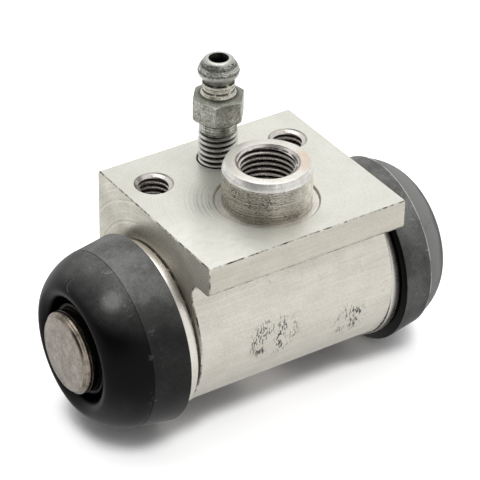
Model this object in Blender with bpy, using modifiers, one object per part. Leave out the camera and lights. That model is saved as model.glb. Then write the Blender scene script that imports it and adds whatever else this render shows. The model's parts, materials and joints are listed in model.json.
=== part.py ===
"""Hydraulic wheel cylinder of a drum brake.

The extruded aluminium body has a flat mounting face on top, with an inlet boss, a bleed screw and
two threaded mounting holes. A piston comes out of each end of the bore, through a rubber dust boot.

Frame: the origin is on the mounting face at mid-length, between the inlet boss and the bleed screw.
X runs along the bore and Z is the mounting face's outward normal. Units are metres.
"""
import math

import bmesh
import bpy
from mathutils import Matrix, Vector

MM = 0.001

# Bore, measured from the mounting face
BORE_RADIUS = 10.32 * MM
BORE_AXIS_Y = -4.95 * MM
BORE_AXIS_DROP = 20.4 * MM
BORE_MOUTH_CHAMFER = 0.6 * MM

# How far a cutter runs past the face that it starts from, and the point angle of a drill
CUTTER_OVERRUN = 1.0 * MM
DRILL_HALF_ANGLE = math.radians(59.0)

# Cross-section of the extruded body, with Y measured from the bore axis
BODY_LENGTH = 37.5 * MM
BODY_END = BODY_LENGTH / 2
BARREL_RADIUS = 16.0 * MM
BARREL_BEHIND_AXIS = 1.0 * MM
BARREL_ABOVE_AXIS = 1.9 * MM
BARREL_FRONT = BARREL_RADIUS - BARREL_BEHIND_AXIS
BARREL_REAR = BARREL_RADIUS + BARREL_BEHIND_AXIS
REAR_CORNER_RADIUS = 0.8 * MM
LIP_OVERHANG = 2.2 * MM
LIP_FRONT = BARREL_FRONT + LIP_OVERHANG
LIP_THICKNESS = 5.6 * MM
LIP_CORNER_RADIUS = 1.2 * MM
LIP_FILLET_RADIUS = 1.8 * MM
WEB_SETBACK = 2.9 * MM
WEB_FRONT = BARREL_FRONT - WEB_SETBACK

# Turned neck at each end, measured along the bore from mid-length
NECK_ROOT_DEPTH = 1.0 * MM
SHOULDER_RADIUS = 13.8 * MM
SHOULDER_WIDTH = 2.05 * MM
SHOULDER_END = BODY_END + SHOULDER_WIDTH
NECK_GROOVE_RADIUS = 12.9 * MM
NECK_GROOVE_WIDTH = 2.4 * MM
NECK_FLANGE_RADIUS = 13.6 * MM
NECK_FLANGE_WIDTH = 2.3 * MM
NECK_FLANGE_CHAMFER = 0.5 * MM
NECK_END = SHOULDER_END + NECK_GROOVE_WIDTH + NECK_FLANGE_WIDTH

# Mounting holes, M6
MOUNT_HOLE_RADIUS = 3.0 * MM
MOUNT_HOLE_MOUTH_RADIUS = 3.25 * MM
MOUNT_HOLE_DEPTH = 11.0 * MM
MOUNT_HOLE_TO_END = 5.65 * MM
MOUNT_HOLE_TO_REAR = 8.4 * MM
MOUNT_HOLE_OFFSET = BODY_END - MOUNT_HOLE_TO_END
MOUNT_HOLE_BEHIND_AXIS = BARREL_REAR - MOUNT_HOLE_TO_REAR

# Inlet port, M10, in its boss
PORT_BEFORE_AXIS = 4.9 * MM
BOSS_RADIUS = 7.4 * MM
BOSS_HEIGHT = 7.1 * MM
BOSS_CHAMFER_WIDTH = 0.5 * MM
BOSS_CHAMFER_DROP = 1.2 * MM
BOSS_ROOT_DEPTH = 2.0 * MM
SPOT_FACE_RADIUS = 8.5 * MM
SPOT_FACE_DEPTH = 0.4 * MM
SPOT_FACE_STEP = 0.15 * MM
PORT_RADIUS = 5.0 * MM
PORT_MOUTH_RADIUS = 5.2 * MM
PORT_THREAD_DEPTH = 4.5 * MM
PORT_PASSAGE_RADIUS = 1.5 * MM

# Bleed screw, M7, and its hole, which meets the bore at its side
BLEEDER_TO_REAR = 7.2 * MM
BLEEDER_BEHIND_AXIS = BARREL_REAR - BLEEDER_TO_REAR
BLEEDER_HOLE_RADIUS = 3.5 * MM
BLEEDER_HOLE_DEPTH = 9.0 * MM
BLEEDER_PASSAGE_RADIUS = 1.25 * MM
BLEEDER_SHANK_RADIUS = 3.175 * MM
BLEEDER_COLLAR_RADIUS = 3.13 * MM
BLEEDER_COLLAR_START = 5.4 * MM
BLEEDER_NECK_RADIUS = 2.67 * MM
BLEEDER_BULGE_RADIUS = 3.45 * MM
BLEEDER_BULGE_HEIGHT = 16.8 * MM
BLEEDER_BULGE_ROUND = 0.7 * MM
BLEEDER_UNDERCUT = 1.7 * MM
BLEEDER_BULGE_START = BLEEDER_BULGE_HEIGHT - BLEEDER_UNDERCUT
BLEEDER_RIM_RADIUS = 2.05 * MM
BLEEDER_RIM_ROUND = 0.5 * MM
BLEEDER_NOSE = 2.15 * MM
BLEEDER_TOP = BLEEDER_BULGE_HEIGHT + BLEEDER_NOSE
BLEEDER_MOUTH_RADIUS = 1.68 * MM
BLEEDER_BORE_RADIUS = 1.1 * MM
BLEEDER_BORE_END = 7.0 * MM
BLEEDER_CROSS_RADIUS = 0.8 * MM
BLEEDER_TIP_LENGTH = 2.0 * MM
HEX_ACROSS_FLATS = 8.0 * MM
HEX_BOTTOM = 8.2 * MM
HEX_TOP = 12.8 * MM
HEX_TOP_DROP = 0.9 * MM
HEX_BOTTOM_DROP = 0.3 * MM
HEX_TURN = math.radians(-38.3)

# Pistons, with distances along the bore from mid-length when the piston is at its outer rest
PISTON_CLEARANCE = 0.2 * MM
STUD_RADIUS = 7.0 * MM
STUD_CHAMFER = 0.7 * MM
STUD_REACH = 10.0 * MM
STUD_END = NECK_END + STUD_REACH
BOOT_GROOVE_RADIUS = 5.4 * MM
STUD_LENGTH = 5.3 * MM
BOOT_GROOVE_FRONT = STUD_END - STUD_LENGTH
BOOT_GROOVE_WIDTH = 2.8 * MM
SKIRT_SINK = 1.2 * MM
SKIRT_FRONT = NECK_END - SKIRT_SINK
SKIRT_LENGTH = 13.0 * MM
SKIRT_CHAMFER = 0.5 * MM
SEAL_GROOVE_RADIUS = 7.0 * MM
SEAL_GROOVE_WIDTH = 3.3 * MM
SEAL_FLANGE_RADIUS = 9.2 * MM
SEAL_FLANGE_WIDTH = 1.4 * MM
SPRING_RECESS_RADIUS = 5.4 * MM
SPRING_RECESS_DEPTH = 6.0 * MM
LEFT_INSET = 0.0 * MM
RIGHT_INSET = 1.8 * MM

# Piston seal
SEAL_LIP_WIDTH = 0.7 * MM
SEAL_NOTCH_DEPTH = 1.3 * MM
SEAL_HEEL_TAPER = 0.2 * MM

# Return spring between the pistons
SPRING_WIRE_RADIUS = 0.45 * MM
SPRING_TURNS = 7
SPRING_POINTS_PER_TURN = 12

# Dust boot, with distances along the bore from mid-length when the piston is at its outer rest
BOOT_RIM_RADIUS = 16.0 * MM
BOOT_RIM_ROUND = 0.3 * MM
BOOT_RIDGE_REACH = 2.0 * MM
BOOT_RIDGE = NECK_END + BOOT_RIDGE_REACH
BOOT_RIDGE_RADIUS = 15.05 * MM
BOOT_RIDGE_STEP = 0.15 * MM
BOOT_RIDGE_FOLLOWS = 0.4
STUD_PROUD = 1.4 * MM
BOOT_FRONT = STUD_END - STUD_PROUD
BOOT_CREST_RADIUS = 10.6 * MM
BOOT_OPENING_RADIUS = 8.85 * MM
BOOT_OPENING_ROUND = 1.6 * MM
BOOT_ROLL_EXPONENT = 1.5
BOOT_WALL = 1.45 * MM
BOOT_TROUGH_DEPTH = 3.9 * MM
BOOT_TROUGH_ROUND = 0.4 * MM
BOOT_COLLAR_WALL = 0.6 * MM
BOOT_COLLAR_SINK = 1.5 * MM

# Gap left between pieces that touch on the real part
TOUCH_GAP = 0.3 * MM

# Steps round a turned piece: the body's ends, its boss, the pieces in and on the bore, small pieces
BODY_STEPS = 64
BOSS_STEPS = 48
BORE_PIECE_STEPS = 40
SMALL_STEPS = 32

MATERIALS = {
    "body_aluminium": ((0.66, 0.65, 0.61), 0.42, 1.0),
    "steel": ((0.50, 0.48, 0.44), 0.38, 1.0),
    "plated_steel": ((0.46, 0.46, 0.41), 0.36, 1.0),
    "spring_steel": ((0.40, 0.41, 0.43), 0.35, 1.0),
    "boot_rubber": ((0.020, 0.020, 0.021), 0.48, 0.0),
    "seal_rubber": ((0.030, 0.030, 0.032), 0.55, 0.0),
}


def clear_scene():
    for obj in list(bpy.data.objects):
        bpy.data.objects.remove(obj, do_unlink=True)


def new_collection(name, hidden=False):
    collection = bpy.data.collections.new(name)
    collection.hide_render = hidden
    bpy.context.scene.collection.children.link(collection)
    return collection


def new_material(name):
    color, roughness, metallic = MATERIALS[name]
    material = bpy.data.materials.new(name)
    material.use_nodes = True
    shader = material.node_tree.nodes["Principled BSDF"]
    shader.inputs["Base Color"].default_value = (*color, 1.0)
    shader.inputs["Roughness"].default_value = roughness
    shader.inputs["Metallic"].default_value = metallic
    material.diffuse_color = (*color, 1.0)
    return material


def add_object(name, mesh, collection, material=None):
    """Link a mesh as a named piece, or as a cutter when it gets no material."""
    obj = bpy.data.objects.new(name, mesh)
    if material:
        mesh.materials.clear()
        mesh.materials.append(material)
    else:
        obj.hide_render = True
        obj.display_type = "WIRE"
    collection.objects.link(obj)
    return obj


def turned(name, profile, steps, collection, material=None):
    """Turn a profile of (radius, height) points about the object's own Z axis.

    The outer side is listed from the top down. A profile with both ends on the axis is left open,
    and any other is closed into a ring.
    """
    is_ring = profile[0][0] > 0.0 or profile[-1][0] > 0.0
    points = [Vector((radius, 0.0, height)) for radius, height in profile]
    edges = [(i, i + 1) for i in range(len(points) - 1)]
    if is_ring:
        edges.append((len(points) - 1, 0))
    mesh = bpy.data.meshes.new(name)
    mesh.from_pydata(points, edges, [])
    obj = add_object(name, mesh, collection, material)
    screw = obj.modifiers.new("turn", "SCREW")
    screw.axis = "Z"
    screw.steps = steps
    screw.render_steps = steps
    screw.use_merge_vertices = True
    screw.merge_threshold = 0.00001
    screw.use_smooth_shade = True
    return obj


def along_bore(obj, side):
    """Lay a turned piece on the bore axis, with its own Z axis pointing out of the given end."""
    obj.location = (0.0, BORE_AXIS_Y, -BORE_AXIS_DROP)
    obj.rotation_euler = (0.0, side * math.radians(90.0), 0.0)
    return obj


def boolean(obj, tool, operation):
    modifier = obj.modifiers.new(tool.name, "BOOLEAN")
    modifier.operation = operation
    modifier.solver = "EXACT"
    modifier.object = tool


def arc(centre, radius, start, end, segments):
    """Points on an arc between two angles in degrees, both ends included."""
    points = []
    for i in range(segments + 1):
        angle = math.radians(start + (end - start) * i / segments)
        points.append((centre[0] + radius * math.cos(angle), centre[1] + radius * math.sin(angle)))
    return points


def section_outline():
    """Outline of the extruded body: Y from the bore axis, Z from the mounting face."""
    barrel_z = BARREL_ABOVE_AXIS - BORE_AXIS_DROP
    web_to_centre = WEB_FRONT + BARREL_BEHIND_AXIS
    web_angle = math.degrees(math.acos(-web_to_centre / BARREL_RADIUS))
    outline = [(-LIP_FRONT, 0.0)]
    corner = (-LIP_FRONT + LIP_CORNER_RADIUS, -LIP_THICKNESS + LIP_CORNER_RADIUS)
    outline += arc(corner, LIP_CORNER_RADIUS, 180.0, 270.0, 4)
    fillet = (-WEB_FRONT - LIP_FILLET_RADIUS, -LIP_THICKNESS - LIP_FILLET_RADIUS)
    outline += arc(fillet, LIP_FILLET_RADIUS, 90.0, 0.0, 5)
    outline += arc((BARREL_BEHIND_AXIS, barrel_z), BARREL_RADIUS, web_angle, 360.0, 40)
    rear_corner = (BARREL_REAR - REAR_CORNER_RADIUS, -REAR_CORNER_RADIUS)
    outline += arc(rear_corner, REAR_CORNER_RADIUS, 0.0, 90.0, 3)
    return outline


def extruded_section(name, collection, material):
    """The body's section as a flat curve, extruded both ways from mid-length and made a mesh."""
    outline = section_outline()
    curve = bpy.data.curves.new("section_outline", "CURVE")
    curve.dimensions = "2D"
    curve.fill_mode = "BOTH"
    curve.extrude = BODY_END
    spline = curve.splines.new("POLY")
    spline.points.add(len(outline) - 1)
    for point, (y, z) in zip(spline.points, outline):
        point.co = (y, z, 0.0, 1.0)
    spline.use_cyclic_u = True
    guide = bpy.data.objects.new("section_guide", curve)
    bpy.context.scene.collection.objects.link(guide)
    graph = bpy.context.evaluated_depsgraph_get()
    mesh = bpy.data.meshes.new_from_object(guide.evaluated_get(graph))
    bpy.data.objects.remove(guide, do_unlink=True)

    bm = bmesh.new()
    bm.from_mesh(mesh)
    bmesh.ops.remove_doubles(bm, verts=bm.verts, dist=0.001 * MM)
    bmesh.ops.recalc_face_normals(bm, faces=bm.faces)
    bm.to_mesh(mesh)
    bm.free()
    obj = add_object(name, mesh, collection, material)
    obj.location = (0.0, BORE_AXIS_Y, 0.0)
    obj.rotation_euler = (math.radians(90.0), 0.0, math.radians(90.0))
    return obj


def drill(name, x, y, steps, profile, cutters):
    """A stepped drill on a vertical axis, listed as (radius, height) from its top down."""
    top, bottom = profile[0][1], profile[-1][1]
    closed = [(0.0, top)] + [point for point in profile if point[0] > 0.0] + [(0.0, bottom)]
    tool = turned(name, closed, steps, cutters)
    tool.location = (x, y, 0.0)
    return tool


def neck_tool(side, cutters):
    """One turned end of the body: shoulder, groove for the boot's bead, and flange."""
    groove_end = SHOULDER_END + NECK_GROOVE_WIDTH
    root = BODY_END - NECK_ROOT_DEPTH
    profile = [
        (0.0, NECK_END),
        (NECK_FLANGE_RADIUS - NECK_FLANGE_CHAMFER, NECK_END),
        (NECK_FLANGE_RADIUS, NECK_END - NECK_FLANGE_CHAMFER),
        (NECK_FLANGE_RADIUS, groove_end),
        (NECK_GROOVE_RADIUS, groove_end),
        (NECK_GROOVE_RADIUS, SHOULDER_END),
        (SHOULDER_RADIUS, SHOULDER_END),
        (SHOULDER_RADIUS, root),
        (0.0, root),
    ]
    name = "neck_left" if side < 0 else "neck_right"
    return along_bore(turned(name, profile, BODY_STEPS, cutters), side)


def bore_tool(cutters):
    overrun = NECK_END + CUTTER_OVERRUN
    mouth = BORE_RADIUS + BORE_MOUTH_CHAMFER
    profile = [
        (0.0, overrun),
        (mouth, overrun),
        (mouth, NECK_END),
        (BORE_RADIUS, NECK_END - BORE_MOUTH_CHAMFER),
        (BORE_RADIUS, -NECK_END + BORE_MOUTH_CHAMFER),
        (mouth, -NECK_END),
        (mouth, -overrun),
        (0.0, -overrun),
    ]
    return along_bore(turned("bore", profile, BODY_STEPS, cutters), 1)


def inlet_boss_tool(cutters):
    profile = [
        (0.0, BOSS_HEIGHT),
        (BOSS_RADIUS - BOSS_CHAMFER_WIDTH, BOSS_HEIGHT),
        (BOSS_RADIUS, BOSS_HEIGHT - BOSS_CHAMFER_DROP),
        (BOSS_RADIUS, -BOSS_ROOT_DEPTH),
        (0.0, -BOSS_ROOT_DEPTH),
    ]
    tool = turned("inlet_boss", profile, BOSS_STEPS, cutters)
    tool.location = (0.0, BORE_AXIS_Y - PORT_BEFORE_AXIS, 0.0)
    return tool


def port_drill(cutters):
    cone = (PORT_RADIUS - PORT_PASSAGE_RADIUS) / math.tan(DRILL_HALF_ANGLE)
    mouth_depth = PORT_MOUTH_RADIUS - PORT_RADIUS
    profile = [
        (PORT_MOUTH_RADIUS, BOSS_HEIGHT + CUTTER_OVERRUN),
        (PORT_MOUTH_RADIUS, BOSS_HEIGHT),
        (PORT_RADIUS, BOSS_HEIGHT - mouth_depth),
        (PORT_RADIUS, -PORT_THREAD_DEPTH),
        (PORT_PASSAGE_RADIUS, -PORT_THREAD_DEPTH - cone),
        (PORT_PASSAGE_RADIUS, BORE_RADIUS / 2 - BORE_AXIS_DROP),
    ]
    y = BORE_AXIS_Y - PORT_BEFORE_AXIS
    return drill("inlet_drill", 0.0, y, BOSS_STEPS, profile, cutters)


def bleeder_drill(cutters):
    cone = BLEEDER_HOLE_RADIUS - BLEEDER_PASSAGE_RADIUS
    profile = [
        (BLEEDER_HOLE_RADIUS, CUTTER_OVERRUN),
        (BLEEDER_HOLE_RADIUS, -BLEEDER_HOLE_DEPTH),
        (BLEEDER_PASSAGE_RADIUS, -BLEEDER_HOLE_DEPTH - cone),
        (BLEEDER_PASSAGE_RADIUS, -BORE_AXIS_DROP),
    ]
    y = BORE_AXIS_Y + BLEEDER_BEHIND_AXIS
    return drill("bleeder_drill", 0.0, y, SMALL_STEPS, profile, cutters)


def mount_drill(side, cutters):
    tip = MOUNT_HOLE_RADIUS / math.tan(DRILL_HALF_ANGLE)
    mouth_depth = MOUNT_HOLE_MOUTH_RADIUS - MOUNT_HOLE_RADIUS
    profile = [
        (MOUNT_HOLE_MOUTH_RADIUS, CUTTER_OVERRUN),
        (MOUNT_HOLE_MOUTH_RADIUS, 0.0),
        (MOUNT_HOLE_RADIUS, -mouth_depth),
        (MOUNT_HOLE_RADIUS, -MOUNT_HOLE_DEPTH),
        (0.0, -MOUNT_HOLE_DEPTH - tip),
    ]
    name = "mount_drill_left" if side < 0 else "mount_drill_right"
    y = BORE_AXIS_Y + MOUNT_HOLE_BEHIND_AXIS
    return drill(name, side * MOUNT_HOLE_OFFSET, y, SMALL_STEPS, profile, cutters)


def spot_face_tool(cutters):
    """Ring that sinks the face round the boss, and leaves a small step at the boss's foot."""
    foot_radius = BOSS_RADIUS + SPOT_FACE_STEP
    profile = [
        (SPOT_FACE_RADIUS, CUTTER_OVERRUN),
        (SPOT_FACE_RADIUS, -SPOT_FACE_DEPTH),
        (foot_radius, -SPOT_FACE_DEPTH),
        (foot_radius, CUTTER_OVERRUN),
    ]
    tool = turned("spot_face", profile, BOSS_STEPS, cutters)
    tool.location = (0.0, BORE_AXIS_Y - PORT_BEFORE_AXIS, 0.0)
    return tool


def cylinder_body(parts, cutters):
    """Extruded section with its turned ends and inlet boss, then the bore and every hole."""
    body = extruded_section("cylinder_body", parts, new_material("body_aluminium"))
    boolean(body, inlet_boss_tool(cutters), "UNION")
    for side in (-1, 1):
        boolean(body, neck_tool(side, cutters), "UNION")
    boolean(body, spot_face_tool(cutters), "DIFFERENCE")
    boolean(body, bore_tool(cutters), "DIFFERENCE")
    boolean(body, port_drill(cutters), "DIFFERENCE")
    boolean(body, bleeder_drill(cutters), "DIFFERENCE")
    for side in (-1, 1):
        boolean(body, mount_drill(side, cutters), "DIFFERENCE")
    return body


def hexagon(name, collection, material):
    """The bleed screw's hexagon as a plain prism, with one corner turned HEX_TURN from +Y."""
    mesh = bpy.data.meshes.new(name)
    bm = bmesh.new()
    corner_radius = HEX_ACROSS_FLATS / 2 / math.cos(math.radians(30.0))
    middle = Matrix.Translation((0.0, 0.0, (HEX_TOP + HEX_BOTTOM) / 2))
    bmesh.ops.create_cone(
        bm,
        cap_ends=True,
        segments=6,
        radius1=corner_radius,
        radius2=corner_radius,
        depth=HEX_TOP - HEX_BOTTOM,
        matrix=middle @ Matrix.Rotation(HEX_TURN, 4, "Z"),
    )
    bm.to_mesh(mesh)
    bm.free()
    return add_object(name, mesh, collection, material)


def hexagon_chamfer_tool(cutters):
    """The turned shape that the hexagon is kept inside, which slopes its top and bottom corners."""
    corner_radius = HEX_ACROSS_FLATS / 2 / math.cos(math.radians(30.0))
    slope = HEX_TOP_DROP / (corner_radius - BLEEDER_NECK_RADIUS)
    past_corner = corner_radius + CUTTER_OVERRUN
    inside_neck = BLEEDER_NECK_RADIUS / 2
    profile = [
        (0.0, HEX_TOP + CUTTER_OVERRUN),
        (inside_neck, HEX_TOP + CUTTER_OVERRUN),
        (inside_neck, HEX_TOP + (BLEEDER_NECK_RADIUS - inside_neck) * slope),
        (past_corner, HEX_TOP - HEX_TOP_DROP - CUTTER_OVERRUN * slope),
        (past_corner, HEX_BOTTOM + HEX_BOTTOM_DROP + CUTTER_OVERRUN),
        (HEX_ACROSS_FLATS / 2, HEX_BOTTOM - CUTTER_OVERRUN / 2),
        (0.0, HEX_BOTTOM - CUTTER_OVERRUN / 2),
    ]
    return turned("hexagon_chamfer", profile, SMALL_STEPS, cutters)


def bleeder_spindle_tool(cutters):
    """The bleed screw's round parts: hose nipple, neck, collar, shank and sealing cone."""
    cone_bottom = TOUCH_GAP - BLEEDER_HOLE_DEPTH - BLEEDER_TIP_LENGTH
    tip_radius = BLEEDER_HOLE_RADIUS - BLEEDER_TIP_LENGTH - TOUCH_GAP / 2
    cone_top = cone_bottom + BLEEDER_SHANK_RADIUS - tip_radius
    hex_middle = (HEX_TOP + HEX_BOTTOM) / 2
    profile = [
        (0.0, BLEEDER_TOP),
        (BLEEDER_RIM_RADIUS, BLEEDER_TOP),
        (BLEEDER_RIM_RADIUS + BLEEDER_RIM_ROUND, BLEEDER_TOP - BLEEDER_RIM_ROUND / 2),
        (BLEEDER_BULGE_RADIUS - BLEEDER_BULGE_ROUND / 3, BLEEDER_BULGE_HEIGHT + BLEEDER_BULGE_ROUND),
        (BLEEDER_BULGE_RADIUS, BLEEDER_BULGE_HEIGHT),
        (BLEEDER_BULGE_RADIUS - BLEEDER_BULGE_ROUND / 4, BLEEDER_BULGE_HEIGHT - BLEEDER_BULGE_ROUND),
        (BLEEDER_NECK_RADIUS, BLEEDER_BULGE_START),
        (BLEEDER_NECK_RADIUS, hex_middle),
        (BLEEDER_COLLAR_RADIUS, hex_middle - CUTTER_OVERRUN),
        (BLEEDER_COLLAR_RADIUS, BLEEDER_COLLAR_START),
        (BLEEDER_SHANK_RADIUS, BLEEDER_COLLAR_START - (BLEEDER_SHANK_RADIUS - BLEEDER_COLLAR_RADIUS)),
        (BLEEDER_SHANK_RADIUS, cone_top),
        (tip_radius, cone_bottom),
        (0.0, cone_bottom),
    ]
    return turned("bleeder_spindle", profile, SMALL_STEPS, cutters)


def bleeder_bore_tool(cutters):
    """The passage down the bleed screw, which ends at a cross hole above the sealing cone."""
    mouth_depth = BLEEDER_MOUTH_RADIUS - BLEEDER_BORE_RADIUS
    tip = BLEEDER_BORE_RADIUS / math.tan(DRILL_HALF_ANGLE)
    profile = [
        (0.0, BLEEDER_TOP + CUTTER_OVERRUN),
        (BLEEDER_MOUTH_RADIUS, BLEEDER_TOP + CUTTER_OVERRUN),
        (BLEEDER_MOUTH_RADIUS, BLEEDER_TOP),
        (BLEEDER_BORE_RADIUS, BLEEDER_TOP - mouth_depth),
        (BLEEDER_BORE_RADIUS, -BLEEDER_BORE_END),
        (0.0, -BLEEDER_BORE_END - tip),
    ]
    return turned("bleeder_bore", profile, SMALL_STEPS, cutters)


def bleeder_cross_tool(cutters):
    """A thin drill through the shank, on its own Z axis."""
    reach = BLEEDER_SHANK_RADIUS + CUTTER_OVERRUN
    profile = [
        (0.0, reach),
        (BLEEDER_CROSS_RADIUS, reach),
        (BLEEDER_CROSS_RADIUS, -reach),
        (0.0, -reach),
    ]
    return turned("bleeder_cross", profile, SMALL_STEPS // 2, cutters)


def bleeder_screw(parts, cutters):
    """Bleed screw, with its origin on its own turning axis."""
    place = (0.0, BORE_AXIS_Y + BLEEDER_BEHIND_AXIS, 0.0)
    screw = hexagon("bleeder_screw", parts, new_material("plated_steel"))
    screw.location = place
    for tool, operation in (
        (hexagon_chamfer_tool(cutters), "INTERSECT"),
        (bleeder_spindle_tool(cutters), "UNION"),
        (bleeder_bore_tool(cutters), "DIFFERENCE"),
    ):
        tool.location = place
        boolean(screw, tool, operation)
    cross = bleeder_cross_tool(cutters)
    cross.rotation_euler = (0.0, math.radians(90.0), 0.0)
    cross.location = (place[0], place[1], BLEEDER_CROSS_RADIUS - BLEEDER_BORE_END)
    boolean(screw, cross, "DIFFERENCE")
    return screw


def seal_groove_span():
    """Far and near ends of the piston's seal groove, from mid-length."""
    front = SKIRT_FRONT - SKIRT_LENGTH
    return front, front - SEAL_GROOVE_WIDTH


def piston(name, side, inset, parts, material):
    """Turned piston: stud for the shoe, groove for the boot, skirt, and groove for the seal."""
    seal_front, seal_back = seal_groove_span()
    inner_end = seal_back - SEAL_FLANGE_WIDTH
    skirt_radius = BORE_RADIUS - PISTON_CLEARANCE
    groove_back = BOOT_GROOVE_FRONT - BOOT_GROOVE_WIDTH
    profile = [
        (0.0, STUD_END),
        (STUD_RADIUS - STUD_CHAMFER, STUD_END),
        (STUD_RADIUS, STUD_END - STUD_CHAMFER),
        (STUD_RADIUS, BOOT_GROOVE_FRONT),
        (BOOT_GROOVE_RADIUS, BOOT_GROOVE_FRONT),
        (BOOT_GROOVE_RADIUS, groove_back),
        (STUD_RADIUS, groove_back),
        (STUD_RADIUS, SKIRT_FRONT),
        (skirt_radius - SKIRT_CHAMFER, SKIRT_FRONT),
        (skirt_radius, SKIRT_FRONT - SKIRT_CHAMFER),
        (skirt_radius, seal_front),
        (SEAL_GROOVE_RADIUS, seal_front),
        (SEAL_GROOVE_RADIUS, seal_back),
        (SEAL_FLANGE_RADIUS, seal_back),
        (SEAL_FLANGE_RADIUS, inner_end),
        (SPRING_RECESS_RADIUS, inner_end),
        (SPRING_RECESS_RADIUS, inner_end + SPRING_RECESS_DEPTH),
        (0.0, inner_end + SPRING_RECESS_DEPTH),
    ]
    moved = [(radius, height - inset) for radius, height in profile]
    return along_bore(turned(name, moved, BORE_PIECE_STEPS, parts, material), side)


def piston_seal(name, side, inset, parts, material):
    """Lip seal in the piston's inner groove, open towards the fluid."""
    groove_front, groove_back = seal_groove_span()
    front = groove_front - TOUCH_GAP
    back = groove_back + TOUCH_GAP
    inner = SEAL_GROOVE_RADIUS + TOUCH_GAP
    outer = BORE_RADIUS - TOUCH_GAP
    profile = [
        (outer - SEAL_HEEL_TAPER, front),
        (outer, back),
        (outer - SEAL_LIP_WIDTH, back),
        ((inner + outer) / 2, back + SEAL_NOTCH_DEPTH),
        (inner + SEAL_LIP_WIDTH, back),
        (inner, back),
        (inner, front),
    ]
    moved = [(radius, height - inset) for radius, height in profile]
    return along_bore(turned(name, moved, BORE_PIECE_STEPS, parts, material), side)


def rolled(start, end, exponent, segments):
    """Points from (radius, distance) start to end, bulging outwards like a rounded corner."""
    points = []
    for i in range(segments + 1):
        angle = math.pi / 2 * i / segments
        along = math.sin(angle) ** (2.0 / exponent)
        across = 1.0 - max(math.cos(angle), 0.0) ** (2.0 / exponent)
        radius = start[0] + (end[0] - start[0]) * across
        distance = start[1] + (end[1] - start[1]) * along
        points.append((radius, distance))
    return points


def boot_shell(inset):
    """The outside of a boot, from its opening over the crest and the ridge to its rear rim."""
    front = BOOT_FRONT - inset
    ridge = BOOT_RIDGE - inset * BOOT_RIDGE_FOLLOWS
    rear = SHOULDER_END + TOUCH_GAP
    crest = (BOOT_CREST_RADIUS, front)
    opening = (BOOT_OPENING_RADIUS, front - BOOT_OPENING_ROUND)
    step = (BOOT_RIDGE_RADIUS - BOOT_RIDGE_STEP, ridge + BOOT_RIDGE_STEP)
    return (
        rolled(opening, crest, 2.0, 3)
        + rolled(step, crest, BOOT_ROLL_EXPONENT, 6)[-2::-1]
        + [(BOOT_RIDGE_RADIUS, ridge)]
        + [(BOOT_RIM_RADIUS, rear + BOOT_RIM_ROUND), (BOOT_RIM_RADIUS - BOOT_RIM_ROUND, rear)]
    )


def boot_seat():
    """The boot's bead in the body's groove, and the wall that clears the flange in front of it."""
    bead_front = SHOULDER_END + NECK_GROOVE_WIDTH - TOUCH_GAP
    bead_radius = NECK_GROOVE_RADIUS + TOUCH_GAP
    clear_radius = NECK_FLANGE_RADIUS + TOUCH_GAP
    return [
        (bead_radius, SHOULDER_END + TOUCH_GAP),
        (bead_radius, bead_front),
        (clear_radius, bead_front),
        (clear_radius, NECK_END + TOUCH_GAP),
    ]


def boot_inside(inset):
    """The hidden side of the fold, from behind the ridge to the bead in the piston's groove."""
    ridge = BOOT_RIDGE - inset * BOOT_RIDGE_FOLLOWS
    bead_back = BOOT_GROOVE_FRONT - BOOT_GROOVE_WIDTH + TOUCH_GAP - inset
    fold = BOOT_OPENING_RADIUS + BOOT_WALL
    start = (BOOT_RIDGE_RADIUS - BOOT_WALL, ridge)
    crest = (fold, BOOT_FRONT - BOOT_WALL - inset)
    return rolled(start, crest, BOOT_ROLL_EXPONENT, 4) + [
        (fold, bead_back + BOOT_WALL),
        (fold - BOOT_WALL, bead_back),
        (BOOT_GROOVE_RADIUS + TOUCH_GAP, bead_back),
    ]


def boot_collar(inset):
    """The bead's front, the collar round the stud, and the trough between collar and opening."""
    bead_front = BOOT_GROOVE_FRONT - TOUCH_GAP - inset
    collar_inner = STUD_RADIUS + TOUCH_GAP
    collar_outer = collar_inner + BOOT_COLLAR_WALL
    collar_front = BOOT_FRONT - BOOT_COLLAR_SINK - inset
    floor = BOOT_FRONT - BOOT_TROUGH_DEPTH - inset
    return [
        (BOOT_GROOVE_RADIUS + TOUCH_GAP, bead_front),
        (collar_inner, bead_front),
        (collar_inner, collar_front),
        (collar_outer, collar_front - BOOT_TROUGH_ROUND / 2),
        (collar_outer, floor + BOOT_TROUGH_ROUND),
        (BOOT_OPENING_RADIUS - BOOT_TROUGH_ROUND, floor),
        (BOOT_OPENING_RADIUS, floor + BOOT_TROUGH_ROUND),
    ]


def dust_boot(name, side, inset, parts, material):
    """Moulded boot, from its bead on the body over the rolled front to its bead on the piston."""
    profile = boot_shell(inset) + boot_seat() + boot_inside(inset) + boot_collar(inset)
    return along_bore(turned(name, profile, BORE_PIECE_STEPS, parts, material), side)


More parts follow.
